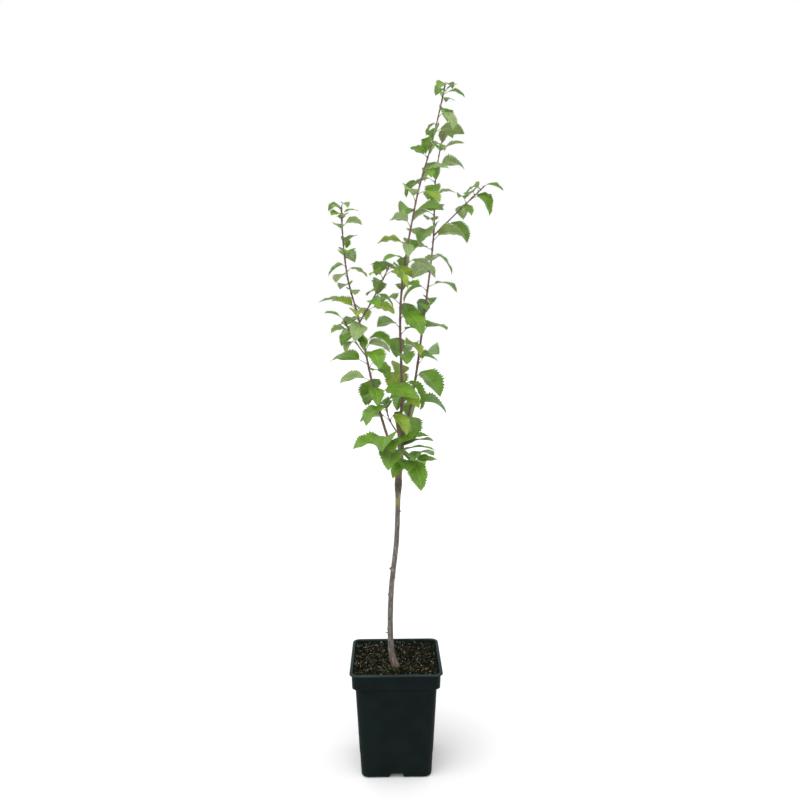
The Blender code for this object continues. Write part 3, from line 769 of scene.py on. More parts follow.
def bark_material(colour, shoot):
    """Grey bark in light and dark blotches, red-brown where the limbs leave the trunk."""
    material, tree, shader = new_material("grown_bark", 0.8, 0.25)
    place = object_coordinates(tree)
    patches, grain = mottle(tree, place, 90.0, 1500.0)
    streaks = noise_at(tree, stretched(tree, place, (1.0, 1.0, 0.16)), 520.0, 4.0, 0.65)
    blotches = noise_at(tree, stretched(tree, place, (1.0, 1.0, 0.45)), 330.0, 3.0, 0.6)
    base = mixed(tree, patches, scaled(colour, 0.70), scaled(colour, 1.15))
    pale = ranged(tree, blotches, 0.54, 0.66)
    base = mixed(tree, maths(tree, "MULTIPLY", pale, 0.75), base, scaled(colour, 2.1))
    dark = ranged(tree, streaks, 0.50, 0.64)
    base = mixed(tree, maths(tree, "MULTIPLY", dark, 0.75), base, scaled(colour, 0.30))
    apart = tree.nodes.new("ShaderNodeSeparateXYZ")
    tree.links.new(place, apart.inputs[0])
    height = maths(tree, "ADD", apart.outputs["Z"], maths(tree, "MULTIPLY", patches, 0.010))
    foot = ranged(tree, height, MIX_TOP + 0.012, MIX_TOP + 0.034, 1.0, 0.0)
    fibres = maths(tree, "MULTIPLY", foot, ranged(tree, streaks, 0.40, 0.56, 0.2, 0.9))
    base = mixed(tree, fibres, base, (0.120, 0.070, 0.040))
    graft = between(tree, height, 0.470, 0.484, 0.500, 0.512)
    scar = maths(tree, "MULTIPLY", graft, ranged(tree, streaks, 0.38, 0.56, 0.15, 0.95))
    base = mixed(tree, scar, base, (0.060, 0.046, 0.030))
    scion = between(tree, height, 0.494, 0.506, 0.575, 0.612)
    tan = maths(tree, "MULTIPLY", scion, ranged(tree, blotches, 0.40, 0.60, 0.45, 0.90))
    base = mixed(tree, tan, base, (0.250, 0.185, 0.115))
    algae = between(tree, height, 0.446, 0.458, 0.468, 0.478)
    base = mixed(tree, maths(tree, "MULTIPLY", algae, 0.75), base, (0.270, 0.235, 0.085))
    young = ranged(tree, height, 0.560, 0.630)
    red = mixed(tree, patches, scaled(shoot, 0.8), scaled(shoot, 1.2))
    base = mixed(tree, maths(tree, "MULTIPLY", young, 0.80), base, red)
    tree.links.new(base, shader.inputs["Base Color"])
    tree.links.new(ranged(tree, patches, 0.0, 1.0, 0.68, 0.9), shader.inputs["Roughness"])
    bump_into(tree, shader, maths(tree, "ADD", grain, streaks), 0.55, 0.0003)
    return material


def shoot_material(name, colour, green):
    """Smooth young bark with tiny pale dots, greener in patches."""
    material, tree, shader = new_material(name, 0.5, 0.4)
    place = object_coordinates(tree)
    patches, grain = mottle(tree, place, 45.0, 1600.0)
    base = mixed(tree, maths(tree, "MULTIPLY", patches, 0.6), colour, green)
    dots = ranged(tree, noise_at(tree, place, 1300.0, 1.0), 0.66, 0.74)
    base = mixed(tree, maths(tree, "MULTIPLY", dots, 0.5), base, scaled(colour, 2.6))
    tree.links.new(base, shader.inputs["Base Color"])
    tree.links.new(ranged(tree, grain, 0.0, 1.0, 0.42, 0.6), shader.inputs["Roughness"])
    bump_into(tree, shader, grain, 0.35, 0.0001)
    return material


# Curves that the limbs follow


def smooth_path(places, count):
    """Evenly spaced points on a smooth curve through the places."""
    knots = np.array(places, float)
    gaps = np.linalg.norm(np.diff(knots, axis=0), axis=1)
    reach = np.concatenate(([0.0], np.cumsum(gaps)))
    slopes = np.empty_like(knots)
    slopes[1:-1] = (knots[2:] - knots[:-2]) / (reach[2:] - reach[:-2])[:, None]
    slopes[0] = 2 * (knots[1] - knots[0]) / gaps[0] - slopes[1]
    slopes[-1] = 2 * (knots[-1] - knots[-2]) / gaps[-1] - slopes[-2]
    points = []
    for at in np.linspace(0.0, reach[-1], count):
        k = min(int(np.searchsorted(reach, at, side="right")) - 1, len(gaps) - 1)
        x = (at - reach[k]) / gaps[k]
        points.append(
            (1 + 2 * x) * (1 - x) ** 2 * knots[k]
            + x * (1 - x) ** 2 * gaps[k] * slopes[k]
            + x * x * (3 - 2 * x) * knots[k + 1]
            + x * x * (x - 1) * gaps[k] * slopes[k + 1]
        )
    return np.array(points)


def point_on(path, share):
    at = share * (len(path) - 1)
    k = min(int(at), len(path) - 2)
    return path[k] + (path[k + 1] - path[k]) * (at - k)


def limb_radii(limb, shares):
    """The radius of a limb at each share of its length."""
    foot_radius, tip_radius = LIMBS[limb]["radii"]
    return foot_radius + (tip_radius - foot_radius) * shares**LIMB_TAPER


def trunk_radius(height, share):
    """The trunk's taper, with the flare at its foot, the old graft and the thicker top growth."""
    radius = TRUNK_FOOT_RADIUS + (TRUNK_TOP_RADIUS - TRUNK_FOOT_RADIUS) * share
    radius += ROOT_FLARE * math.exp(-max(0.0, height - MIX_TOP) / ROOT_FLARE_HEIGHT)
    radius += GRAFT_SWELLING * math.exp(-(((height - GRAFT_HEIGHT) / GRAFT_LENGTH) ** 2))
    radius += SCION_STEP / (1 + math.exp((GRAFT_HEIGHT - height) / (GRAFT_LENGTH / 4)))
    return radius


# The rule that the leaves grow by


def blade_half_width(share):
    """Half the blade's width in lengths of the blade: broad low down, with a drawn-out tip."""
    outline = np.sin(math.pi * share**0.82) ** 0.72
    return 0.5 * BLADE_BREADTH * outline * (1 - 0.22 * share**3)


def leaf_frames(leaf, shares):
    """The petiole's end, then the rib, the cross direction and the upper side at each share."""
    length, lift, droop, roll = leaf["length"], leaf["lift"], leaf["droop"], leaf["roll"]
    out = np.array((math.cos(leaf["heading"]), math.sin(leaf["heading"]), 0.0))
    climb = math.cos(leaf["rise"]) * out + math.sin(leaf["rise"]) * UP
    joint = leaf["foot"] + PETIOLE_SHARE * length * climb
    facing = leaf["heading"] + leaf["swing"]
    out = np.array((math.cos(facing), math.sin(facing), 0.0))
    side = np.array((-math.sin(facing), math.cos(facing), 0.0))
    slope = lift - droop * shares
    run = np.outer(math.sin(lift) - np.sin(slope), out)
    fall = np.outer(np.cos(slope) - math.cos(lift), UP)
    rib = joint + length / droop * (run + fall)
    normal = np.outer(-np.sin(slope), out) + np.outer(np.cos(slope), UP)
    across = math.cos(roll) * side + math.sin(roll) * normal
    above = math.cos(roll) * normal - math.sin(roll) * side
    return joint, rib, across, above


def leaf_test_points(leaf):
    shares = np.linspace(0.0, 1.0, TEST_STATIONS)
    spread = np.linspace(-1.0, 1.0, TEST_COLUMNS)
    joint, rib, across, above = leaf_frames(leaf, shares)
    half = leaf["length"] * blade_half_width(shares)
    sideways = (half[:, None] * spread * math.cos(FOLD))[:, :, None] * across[:, None, :]
    upwards = (half[:, None] * np.abs(spread) * math.sin(FOLD))[:, :, None] * above[:, None, :]
    return (rib[:, None, :] + sideways + upwards).reshape(-1, 3)


def draw_leaf(rng, foot, heading, length):
    return {
        "foot": foot,
        "heading": heading + math.radians(rng.uniform(-HEADING_PLAY, HEADING_PLAY)),
        "swing": math.radians(rng.uniform(-SWING_PLAY, SWING_PLAY)),
        "rise": math.radians(rng.uniform(*PETIOLE_RISE)),
        "lift": math.radians(rng.uniform(*BLADE_LIFT)),
        "droop": math.radians(rng.uniform(*BLADE_DROOP)),
        "roll": math.radians(rng.uniform(-ROLL_PLAY, ROLL_PLAY)),
        "length": length * rng.uniform(*LENGTH_PLAY),
    }


def too_near(points, others, clearance):
    gaps = others[None, :, :3] - points[:, None, :]
    return bool((np.einsum("ijk,ijk->ij", gaps, gaps) < clearance**2).any())


def touches(points, mass, limb_points, placed):
    """Whether a leaf comes too near a limb, or a leaf that is already there."""
    centre = points.mean(axis=0)
    reach = float(np.linalg.norm(points - centre, axis=1).max())
    distance = np.linalg.norm(limb_points[:, :3] - centre, axis=1)
    close = limb_points[distance < reach + LIMB_LOOK]
    if len(close) and too_near(points, close, close[:, 3] + LIMB_CLEARANCE):
        return True
    for other in placed:
        clearance = OWN_CLEARANCE if other["mass"] == mass else OTHER_CLEARANCE
        apart = np.linalg.norm(other["centre"] - centre)
        if apart < other["reach"] + reach + clearance:
            if too_near(points, other["points"], clearance):
                return True
    placed.append({"mass": mass, "centre": centre, "reach": reach, "points": points})
    return False


def grow_flush(path, flush, mass, limb_points, placed):
    """The leaves of one flush of growth, each a fixed turn round the stem from the last."""
    start, end, length, seed, count = flush
    rng = random.Random(seed)
    first_heading = rng.uniform(0, 2 * math.pi)
    leaves = []
    for k in range(count):
        share = start + (end - start) * (k + rng.uniform(0.2, 0.8)) / count
        foot = point_on(path, share)
        for _ in range(DRAWS):
            leaf = draw_leaf(rng, foot, first_heading + k * LEAF_TURN, length)
            if not touches(leaf_test_points(leaf), mass, limb_points, placed):
                leaf["share"] = share
                leaves.append(leaf)
                break
    return leaves


def spread_flushes(span, lengths, seeds, count):
    """Start, end, leaf length, seed and leaf count of each flush, set end to end in a span."""
    start, end = span
    low, high = lengths
    flushes = []
    for k, seed in enumerate(seeds):
        from_share = start + (end - start) * k / len(seeds)
        to_share = start + (end - start) * (k + 1) / len(seeds)
        length = low + (high - low) * (k + 0.5) / len(seeds)
        flushes.append((from_share, to_share, length, seed, count))
    return flushes


def flushes_of(limb):
    """The flushes along a limb, and those of the tuft at its tip."""
    plan = LEAFING[limb]
    flushes = spread_flushes(plan["span"], plan["lengths"], plan["seeds"], LEAVES_IN_FLUSH)
    if "tip_seeds" in plan:
        tip = (plan["span"][1], 1.0)
        lengths = (plan["tip_length"], plan["tip_length"])
        flushes += spread_flushes(tip, lengths, plan["tip_seeds"], LEAVES_IN_FLUSH)
    return flushes


def fills_of(limb):
    """The later flushes of a limb, which fill the gaps between the first."""
    plan = LEAFING[limb]
    return spread_flushes(plan["span"], plan["lengths"], plan["fill_seeds"], LEAVES_IN_FILL)


def all_limb_points():
    """Points along the trunk and every limb, each with the radius there."""
    path = smooth_path(TRUNK_PLACES, LIMB_TEST_POINTS)
    radii = np.linspace(TRUNK_FOOT_RADIUS, TRUNK_TOP_RADIUS, LIMB_TEST_POINTS)
    rows = [np.column_stack((path, radii))]
    for limb in LIMBS.values():
        path = smooth_path(limb["places"], LIMB_TEST_POINTS)
        rows.append(np.column_stack((path, np.linspace(*limb["radii"], LIMB_TEST_POINTS))))
    return np.concatenate(rows)


def grow_crown():
    """The leaves of each mass. The limbs grow in the order that LEAFING gives, then the fills."""
    limb_points = all_limb_points()
    placed = []
    crown = {mass: [] for mass in MASSES}
    for flushes in (flushes_of, fills_of):
        for limb in LEAFING:
            mass = next(name for name, limbs in MASSES.items() if limb in limbs)
            path = smooth_path(LIMBS[limb]["places"], PATH_POINTS)
            for flush in flushes(limb):
                grown = grow_flush(path, flush, mass, limb_points, placed)
                crown[mass] += [{**leaf, "limb": limb} for leaf in grown]
    return crown


# The pot and its potting mix


def rounded_square(half, corner, bow):
    """The points of a square with round corners whose sides bulge by bow at their middle."""
    points = []
    for quarter in range(4):
        middle = math.radians(45.0 + 90.0 * quarter)
        centre_x = math.copysign(half - corner, math.cos(middle))
        centre_y = math.copysign(half - corner, math.sin(middle))
        for step in range(CORNER_STEPS + 1):
            angle = math.radians(90.0 * (quarter + step / CORNER_STEPS))
            points.append((centre_x + corner * math.cos(angle), centre_y + corner * math.sin(angle)))
        side = math.radians(90.0 * (quarter + 1))
        for step in range(1, SIDE_STEPS):
            share = 1.0 - 2.0 * step / SIDE_STEPS
            out = half + bow * (1.0 - share * share)
            along = (half - corner) * share
            points.append(
                (
                    out * math.cos(side) + along * math.sin(side),
                    out * math.sin(side) - along * math.cos(side),
                )
            )
    return points


def square_loft(name, rings):
    """A closed solid through rounded squares, given as half width, height, corner and bow."""
    bm = bmesh.new()
    loops = []
    for half, height, corner, bow in rings:
        loops.append([bm.verts.new((x, y, height)) for x, y in rounded_square(half, corner, bow)])
    for lower, upper in zip(loops, loops[1:]):
        for k, vert in enumerate(lower):
            bm.faces.new((lower[k - 1], vert, upper[k], upper[k - 1]))
    bmesh.ops.contextual_create(bm, geom=loops[0])
    bmesh.ops.contextual_create(bm, geom=loops[-1])
    return object_from(bm, name)


def body_half_width(height):
    lean = (BODY_TOP_WIDTH / 2 - STEP_DEPTH - BASE_WIDTH / 2) / BODY_TOP
    return BASE_WIDTH / 2 + lean * height


def collar_half_width(height):
    lean = (COLLAR_TOP_WIDTH - COLLAR_BOTTOM_WIDTH) / 2 / (COLLAR_HEIGHT - LIP_HEIGHT)
    return COLLAR_BOTTOM_WIDTH / 2 + lean * (height - COLLAR_BOTTOM)


def bulge_at(height, bow):
    """The walls bulge most at the middle of their height, and not at the foot or the collar."""
    share = min(1.0, max(0.0, height / BODY_TOP))
    return bow * math.sin(math.pi * share) ** 0.8


def pot_rings(bow):
    """The outer surface from the foot to the lip, then the inside down to its floor."""
    rings = []
    for step in range(6):
        angle = math.radians(18.0 * step)
        inset = BASE_ROUNDING * (1 - math.sin(angle))
        height = BASE_ROUNDING * (1 - math.cos(angle))
        rings.append((body_half_width(height) - inset, height, CORNER_RADIUS - inset, 0.0))
    for step in range(1, 5):
        height = BASE_ROUNDING + (STEP_HEIGHT - BASE_ROUNDING) * step / 5
        rings.append((body_half_width(height), height, CORNER_RADIUS, bulge_at(height, bow)))
    step_bow = bulge_at(STEP_HEIGHT, bow)
    step_half = body_half_width(STEP_HEIGHT)
    rings.append((step_half, STEP_HEIGHT, CORNER_RADIUS, step_bow))
    for step in range(13):
        height = STEP_HEIGHT + STEP_DEPTH + (BODY_TOP - STEP_HEIGHT - STEP_DEPTH) * step / 12
        rings.append((body_half_width(height) + STEP_DEPTH, height, CORNER_RADIUS, bulge_at(height, bow)))
    under_lip = POT_HEIGHT - LIP_HEIGHT
    edge = LIP_HEIGHT / 4
    inner_top = collar_half_width(POT_HEIGHT) - WALL
    rings += [
        (COLLAR_BOTTOM_WIDTH / 2, COLLAR_BOTTOM, CORNER_RADIUS, 0.0),
        (COLLAR_TOP_WIDTH / 2, under_lip - edge, CORNER_RADIUS, 0.0),
        (RIM_WIDTH / 2 - 2 * edge, under_lip, CORNER_RADIUS, 0.0),
        (RIM_WIDTH / 2, under_lip + edge, CORNER_RADIUS, 0.0),
        (RIM_WIDTH / 2, POT_HEIGHT - 1.6 * edge, CORNER_RADIUS, 0.0),
        (RIM_WIDTH / 2 - 1.4 * edge, POT_HEIGHT, CORNER_RADIUS, 0.0),
        (inner_top + edge, POT_HEIGHT, CORNER_RADIUS - WALL, 0.0),
        (inner_top, POT_HEIGHT - edge, CORNER_RADIUS - WALL, 0.0),
        (COLLAR_BOTTOM_WIDTH / 2 - WALL, COLLAR_BOTTOM, CORNER_RADIUS - WALL, 0.0),
        (BODY_TOP_WIDTH / 2 - WALL, BODY_TOP, CORNER_RADIUS - WALL, 0.0),
    ]
    inner_floor = NOTCH_HEIGHT + WALL
    rings.append((body_half_width(inner_floor) - WALL, inner_floor, CORNER_RADIUS - WALL, 0.0))
    return rings


def notch_block(turn):
    """The space of one drain notch at the foot of a side."""
    bm = bmesh.new()
    bmesh.ops.create_cube(bm, size=1.0)
    outside = -BASE_WIDTH / 2 - WALL * 2
    for vert in bm.verts:
        is_top = vert.co.z > 0
        width = NOTCH_TOP_WIDTH if is_top else NOTCH_WIDTH
        vert.co.x = math.copysign(width / 2, vert.co.x)
        vert.co.y = outside if vert.co.y < 0 else -BASE_WIDTH / 2 + NOTCH_DEPTH
        vert.co.z = NOTCH_HEIGHT if is_top else -WALL
    upright = [edge for edge in bm.edges if abs(edge.verts[0].co.z - edge.verts[1].co.z) > WALL]
    crest = [edge for edge in bm.edges if min(vert.co.z for vert in edge.verts) > 0]
    bmesh.ops.bevel(
        bm,
        geom=[edge for edge in upright + crest if max(vert.co.y for vert in edge.verts) > outside],
        offset=0.0012,
        segments=3,
        affect="EDGES",
        profile=0.5,
        material=-1,
    )
    bmesh.ops.rotate(bm, verts=bm.verts, matrix=Matrix.Rotation(math.radians(turn), 3, "Z"))
    return object_from(bm, "notch_block")


def drain_cutter(turn):
    bm = bmesh.new()
    sizes = {"radius1": DRAIN_RADIUS, "radius2": DRAIN_RADIUS, "depth": WALL * 4}
    bmesh.ops.create_cone(bm, cap_ends=True, segments=32, **sizes)
    middle = (0.0, -BASE_WIDTH / 2 + NOTCH_DEPTH - 2 * DRAIN_RADIUS, NOTCH_HEIGHT + WALL / 2)
    bmesh.ops.translate(bm, verts=bm.verts, vec=middle)
    bmesh.ops.rotate(bm, verts=bm.verts, matrix=Matrix.Rotation(math.radians(turn), 3, "Z"))
    return object_from(bm, "drain_cutter")


def cut_away(obj, cutters):
    """Cuts each cutter out of obj, then removes them."""
    for cutter in cutters:
        boolean = obj.modifiers.new("cut", "BOOLEAN")
        boolean.operation = "DIFFERENCE"
        boolean.solver = "EXACT"
        boolean.object = cutter
    apply_modifiers(obj)
    remove(cutters)


def mix_half_width(height):
    """Half the width of the pot's inside at a height."""
    if height > COLLAR_BOTTOM:
        return collar_half_width(height) - WALL
    if height > BODY_TOP:
        share = (height - BODY_TOP) / CHAMFER_HEIGHT
        return (BODY_TOP_WIDTH + (COLLAR_BOTTOM_WIDTH - BODY_TOP_WIDTH) * share) / 2 - WALL
    return body_half_width(height) - WALL


def mix_height(x, y):
    """The uneven top of the mix: humps and hollows, higher round the foot of the trunk."""
    place = Vector((x, y, 0.0))
    humps = noise.noise(place * 45.0) * 0.0022 + noise.noise(place * 160.0) * 0.0010
    foot = math.hypot(x - TRUNK_PLACES[0][0], y - TRUNK_PLACES[0][1])
    rise = 0.0010 * math.exp(-((foot / 0.018) ** 2))
    return MIX_TOP - 0.0008 + humps + rise


def into_rounded_square(x, y, half, corner):
    """Draws a point that stands past a round corner back on to it."""
    flat = half - corner
    over_x = abs(x) - flat
    over_y = abs(y) - flat
    if over_x > 0 and over_y > 0:
        reach = math.hypot(over_x, over_y)
        if reach > corner:
            x = math.copysign(flat + over_x * corner / reach, x)
            y = math.copysign(flat + over_y * corner / reach, y)
    return x, y


def make_mix_body():
    """The mix as one closed body: a rough top over a plug that fills the pot."""
    bm = bmesh.new()
    top_half = mix_half_width(MIX_TOP) - GAP
    corner = CORNER_RADIUS - WALL
    bmesh.ops.create_grid(bm, x_segments=120, y_segments=120, size=top_half)
    for vert in bm.verts:
        x, y = into_rounded_square(vert.co.x, vert.co.y, top_half, corner)
        place = Vector((x, y, 0.0))
        grit = noise.noise(place * 520.0) * 0.0007 + noise.noise(place * 1100.0) * 0.0004
        vert.co = (x, y, mix_height(x, y) + grit)
    edges = [edge for edge in bm.edges if edge.is_boundary]
    bottom = NOTCH_HEIGHT + WALL + GAP
    for height in (COLLAR_BOTTOM + 0.001, BODY_TOP, bottom):
        half = mix_half_width(height) - GAP
        grown = bmesh.ops.extrude_edge_only(bm, edges=edges)["geom"]
        edges = [item for item in grown if isinstance(item, bmesh.types.BMEdge)]
        ring = {vert for edge in edges for vert in edge.verts}
        reach = max(max(abs(vert.co.x), abs(vert.co.y)) for vert in ring)
        for vert in ring:
            vert.co.x *= half / reach
            vert.co.y *= half / reach
            vert.co.z = height
    bmesh.ops.contextual_create(bm, geom=edges)
    return object_from(bm, "potting_mix_body")


def solid_shape(detail):
    """Points and faces of a unit icosphere."""
    bm = bmesh.new()
    bmesh.ops.create_icosphere(bm, subdivisions=detail, radius=1.0)
    bm.verts.ensure_lookup_table()
    points = np.array([vert.co for vert in bm.verts])
    faces = np.array([[vert.index for vert in face.verts] for face in bm.faces])
    bm.free()
    return points, faces


def random_turn(rng):
    """A random rotation as a 3 by 3 array."""
    angles = [rng.uniform(0, 2 * math.pi) for _ in range(3)]
    turn = Matrix.Rotation(angles[0], 3, "X") @ Matrix.Rotation(angles[1], 3, "Y")
    return np.array(turn @ Matrix.Rotation(angles[2], 3, "Z"))


def crumb_part(rng, centre, size, shape, flatness):
    """One irregular crumb: a lumpy, flattened ball turned at random."""
    points, faces = shape
    lumps = np.array([rng.uniform(0.72, 1.2) for _ in points])[:, None]
    stretch_by = np.array((1.0, rng.uniform(0.45, 0.9), rng.uniform(*flatness)))
    grown = points * lumps * stretch_by * size
    return {"points": grown @ random_turn(rng).T + np.array(centre), "faces": faces}


def place_in_pot(rng, half):
    """A random place on the mix, clear of the pot's wall."""
    while True:
        x = rng.uniform(-half, half)
        y = rng.uniform(-half, half)
        if into_rounded_square(x, y, half, CORNER_RADIUS) == (x, y):
            return x, y


def make_crumbs(count):
    """Loose crumbs by kind: dark bark chips, brown bits, pale grit, moss and fallen scraps."""
    rng = random.Random(4127)
    small = solid_shape(1)
    half = mix_half_width(MIX_TOP) - 0.003
    kinds = {"dark": [], "brown": [], "pale": [], "moss": [], "rust": []}
    for _ in range(count):
        x, y = place_in_pot(rng, half)
        draw = rng.random()
        kind = "dark" if draw < 0.57 else "brown" if draw < 0.86 else "pale"
        size = 0.0007 + 0.0026 * rng.random() ** 2.0
        if kind == "pale":
            size = 0.0005 + 0.0011 * rng.random() ** 1.5
        lift = size * rng.uniform(-0.1, 0.55)
        kinds[kind].append(crumb_part(rng, (x, y, mix_height(x, y) + lift), size, small, (0.25, 0.7)))
    for middle_x, middle_y, spread, number in MOSS_PATCHES:
        for _ in range(number):
            x = rng.gauss(middle_x, spread)
            y = rng.gauss(middle_y, spread * 0.7)
            if into_rounded_square(x, y, half, CORNER_RADIUS) != (x, y):
                continue
            size = rng.uniform(0.0005, 0.0012)
            kinds["moss"].append(crumb_part(rng, (x, y, mix_height(x, y) + size * 0.6), size, small, (0.6, 1.0)))
    for x, y, size in SCRAPS:
        kinds["rust"].append(crumb_part(rng, (x, y, mix_height(x, y) + size * 0.4), size, small, (0.3, 0.5)))
    return kinds


# The bark


def add_tube(bm, points, radii, sides):
    """Adds a closed round tube along the points."""
    first, second = along_path(np.asarray(points, float))
    loops = []
    for place, right, ahead, radius in zip(points, first, second, radii):
        out = np.cross(right, ahead)
        turn = Matrix(np.column_stack((right, ahead, out)).tolist()).to_4x4()
        turn.translation = Vector(place)
        ring = bmesh.ops.create_circle(bm, segments=sides, radius=radius, matrix=turn)["verts"]
        loops.append(list({edge for vert in ring for edge in vert.link_edges}))
    for lower, upper in zip(loops, loops[1:]):
        bmesh.ops.bridge_loops(bm, edges=lower + upper)
    bmesh.ops.contextual_create(bm, geom=loops[0])
    bmesh.ops.contextual_create(bm, geom=loops[-1])


def trunk_at(height):
    """The trunk's middle and radius at a height."""
    path = smooth_path(TRUNK_PLACES, 181)
    nearest = int(np.abs(path[:, 2] - height).argmin())
    return path[nearest], trunk_radius(height, nearest / 180)


def add_knob(bm, height, azimuth, radius, reach):
    """A bud scar or stub on the trunk's side, standing out by reach."""
    middle, out = trunk_at(height)
    angle = math.radians(azimuth)
    heading = np.array((math.cos(angle), math.sin(angle), 0.25))
    heading /= np.linalg.norm(heading)
    shares = np.linspace(0.0, 1.0, 7)
    points = middle + heading * ((out - radius) + (reach + radius) * shares)[:, None]
    add_tube(bm, points, radius * np.sqrt(np.clip(1.08 - shares**2.2, 0.05, 1.0)), 12)


def bark_height(place):
    """How far the bark stands out at a place, in units of its relief."""
    upright = Vector((place.x * 420.0, place.y * 420.0, place.z * 55.0))
    ridges = noise.noise(upright) * 0.9 + noise.noise(upright * 2.3) * 0.5
    cell = Vector((place.x * 230.0, place.y * 230.0, place.z * 460.0))
    distance = noise.voronoi(cell)[0][0]
    pore = max(0.0, 1.0 - distance / 0.30)
    height = ridges + 1.5 * pore * pore
    graft = math.exp(-(((place.z - 0.484) / 0.011) ** 4))
    rough = noise.noise(place * 620.0) + 0.6 * noise.noise(place * 1300.0)
    height += graft * rough * 3.6
    fork = math.exp(-(((place.z - 0.585) / 0.022) ** 2))
    return height + fork * noise.noise(place * 420.0) * 1.6


def make_bark(relief):
    """The trunk and its boughs fused in one skin, with ridges, pores, knobs and graft scar."""
    bm = bmesh.new()
    path = smooth_path(TRUNK_PLACES, 181)
    shares = np.linspace(0.0, 1.0, 181)
    radii = np.array([trunk_radius(place[2], share) for place, share in zip(path, shares)])
    wobble = np.array([noise.noise(Vector((0.0, 7.0, place[2] * 60.0))) for place in path])
    add_tube(bm, path, radii * (1 + 0.05 * wobble), 28)
    top = path[-1]
    snag = np.linspace(path[-6], np.array(SNAG_TOP), 6)
    add_tube(bm, snag, np.linspace(radii[-1], radii[-1] * 0.86, 6), 20)
    for height, azimuth in KNOBS:
        add_knob(bm, height, azimuth, KNOB_RADIUS * 0.85, 0.0016)
    for height, azimuth, radius, reach in STUBS:
        add_knob(bm, height, azimuth, radius, reach)
    for limb, share in LIMB_IN_BARK.items():
        points = smooth_path(LIMBS[limb]["places"], PATH_POINTS)
        steps = np.linspace(0.0, share, 34)
        places = np.array([point_on(points, step) for step in steps])
        run = np.concatenate(([0.0], np.cumsum(np.linalg.norm(np.diff(places, axis=0), axis=1))))
        collar = 1.0 + 0.45 * np.exp(-((run / COLLAR_LENGTH) ** 2))
        add_tube(bm, places, limb_radii(limb, steps) * collar, 20)
    obj = object_from(bm, "bark_of_trunk_and_boughs")
    fuse = obj.modifiers.new("fuse", "REMESH")
    fuse.mode = "VOXEL"
    fuse.voxel_size = BARK_VOXEL
    soften = obj.modifiers.new("soften", "SMOOTH")
    soften.factor = 0.5
    soften.iterations = 5
    apply_modifiers(obj)
    mesh = obj.data
    moved = []
    for vert in mesh.vertices:
        moved.append(vert.co + vert.normal * (relief * bark_height(vert.co)))
    for vert, place in zip(mesh.vertices, moved):
        vert.co = place
    mesh.update()
    return obj


# Shoots


def shoot_part(limb, feet):
    """One young shoot, swollen a little at each place where a leaf stands."""
    start = max(0.0, LIMB_IN_BARK.get(limb, 0.0) - 0.012)
    path = smooth_path(LIMBS[limb]["places"], PATH_POINTS)
    rows = 150
    shares = np.linspace(start, 1.0, rows)
    points = np.array([point_on(path, share) for share in shares])
    radii = limb_radii(limb, shares)
    if start:
        radii = radii * 0.97
    length = np.linalg.norm(np.diff(path, axis=0), axis=1).sum()
    for foot in feet:
        radii = radii + 0.00042 * np.exp(-(((shares - foot) * length / 0.0022) ** 2))
    radii[-1] *= 0.4
    return tube_part(points, radii, 12)


def bud_part(leaf, radius):
    """The bud that sits in the angle above a leaf's stalk."""
    out = np.array((math.cos(leaf["heading"]), math.sin(leaf["heading"]), 0.0))
    foot = leaf["foot"] + out * radius * 0.7 + UP * 0.0010
    return spindle_part(foot, foot + UP * 0.0030 + out * 0.0009, 0.00082, 7, 7)


def spur_part(limb, share, azimuth, length, radius):
    """A short dead spur or knob on a limb."""
    foot = point_on(smooth_path(LIMBS[limb]["places"], PATH_POINTS), share)
    out = np.array((math.cos(math.radians(azimuth)), math.sin(math.radians(azimuth)), 0.6))
    return spindle_part(foot, foot + length * out / np.linalg.norm(out), radius, 8, 7)


# Leaves


def fine_half_width(shares):
    """The solids' outline, drawn in towards the stalk and more finely pointed at the tip."""
    base = 1.0 - BASE_NARROWING * np.exp(-((shares / 0.13) ** 2))
    return blade_half_width(shares) * base * (1.0 - TIP_NARROWING * np.exp(-(1.0 - shares) / 0.07))


def leaf_look(number):
    """The turns and waves that make one fine leaf differ from the next."""
    rng = random.Random(52000 + number)
    return {
        "fold": rng.uniform(-0.16, 0.20),
        "recurve": rng.uniform(0.02, 0.20),
        "wave": rng.uniform(0.4, 1.5),
        "waves": rng.uniform(1.6, 3.4),
        "phases": (rng.uniform(0, 2 * math.pi), rng.uniform(0, 2 * math.pi)),
        "twist": rng.uniform(-0.35, 0.35),
        "teeth": [rng.uniform(0.55, 1.35) for _ in range(2 * BLADE_ROWS)],
    }


def blade_pattern():
    """The faces of one blade and their material: upper skin and margin 0, lower skin 1."""
    columns = len(BLADE_COLUMNS)
    upper = np.arange(BLADE_ROWS * columns).reshape(BLADE_ROWS, columns)
    lower = upper + BLADE_ROWS * columns
    faces = []
    slots = []
    for row in range(BLADE_ROWS - 1):
        for k in range(columns - 1):
            faces.append((upper[row, k], upper[row + 1, k], upper[row + 1, k + 1], upper[row, k + 1]))
            faces.append((lower[row, k], lower[row, k + 1], lower[row + 1, k + 1], lower[row + 1, k]))
            slots += [0, 1]
        faces.append((upper[row, -1], upper[row + 1, -1], lower[row + 1, -1], lower[row, -1]))
        faces.append((upper[row, 0], lower[row, 0], lower[row + 1, 0], upper[row + 1, 0]))
        slots += [0, 0]
    faces.append(tuple(upper[0]) + tuple(lower[0][::-1]))
    faces.append(tuple(lower[-1]) + tuple(upper[-1][::-1]))
    slots += [1, 1]
    return [tuple(int(corner) for corner in face) for face in faces], np.array(slots)


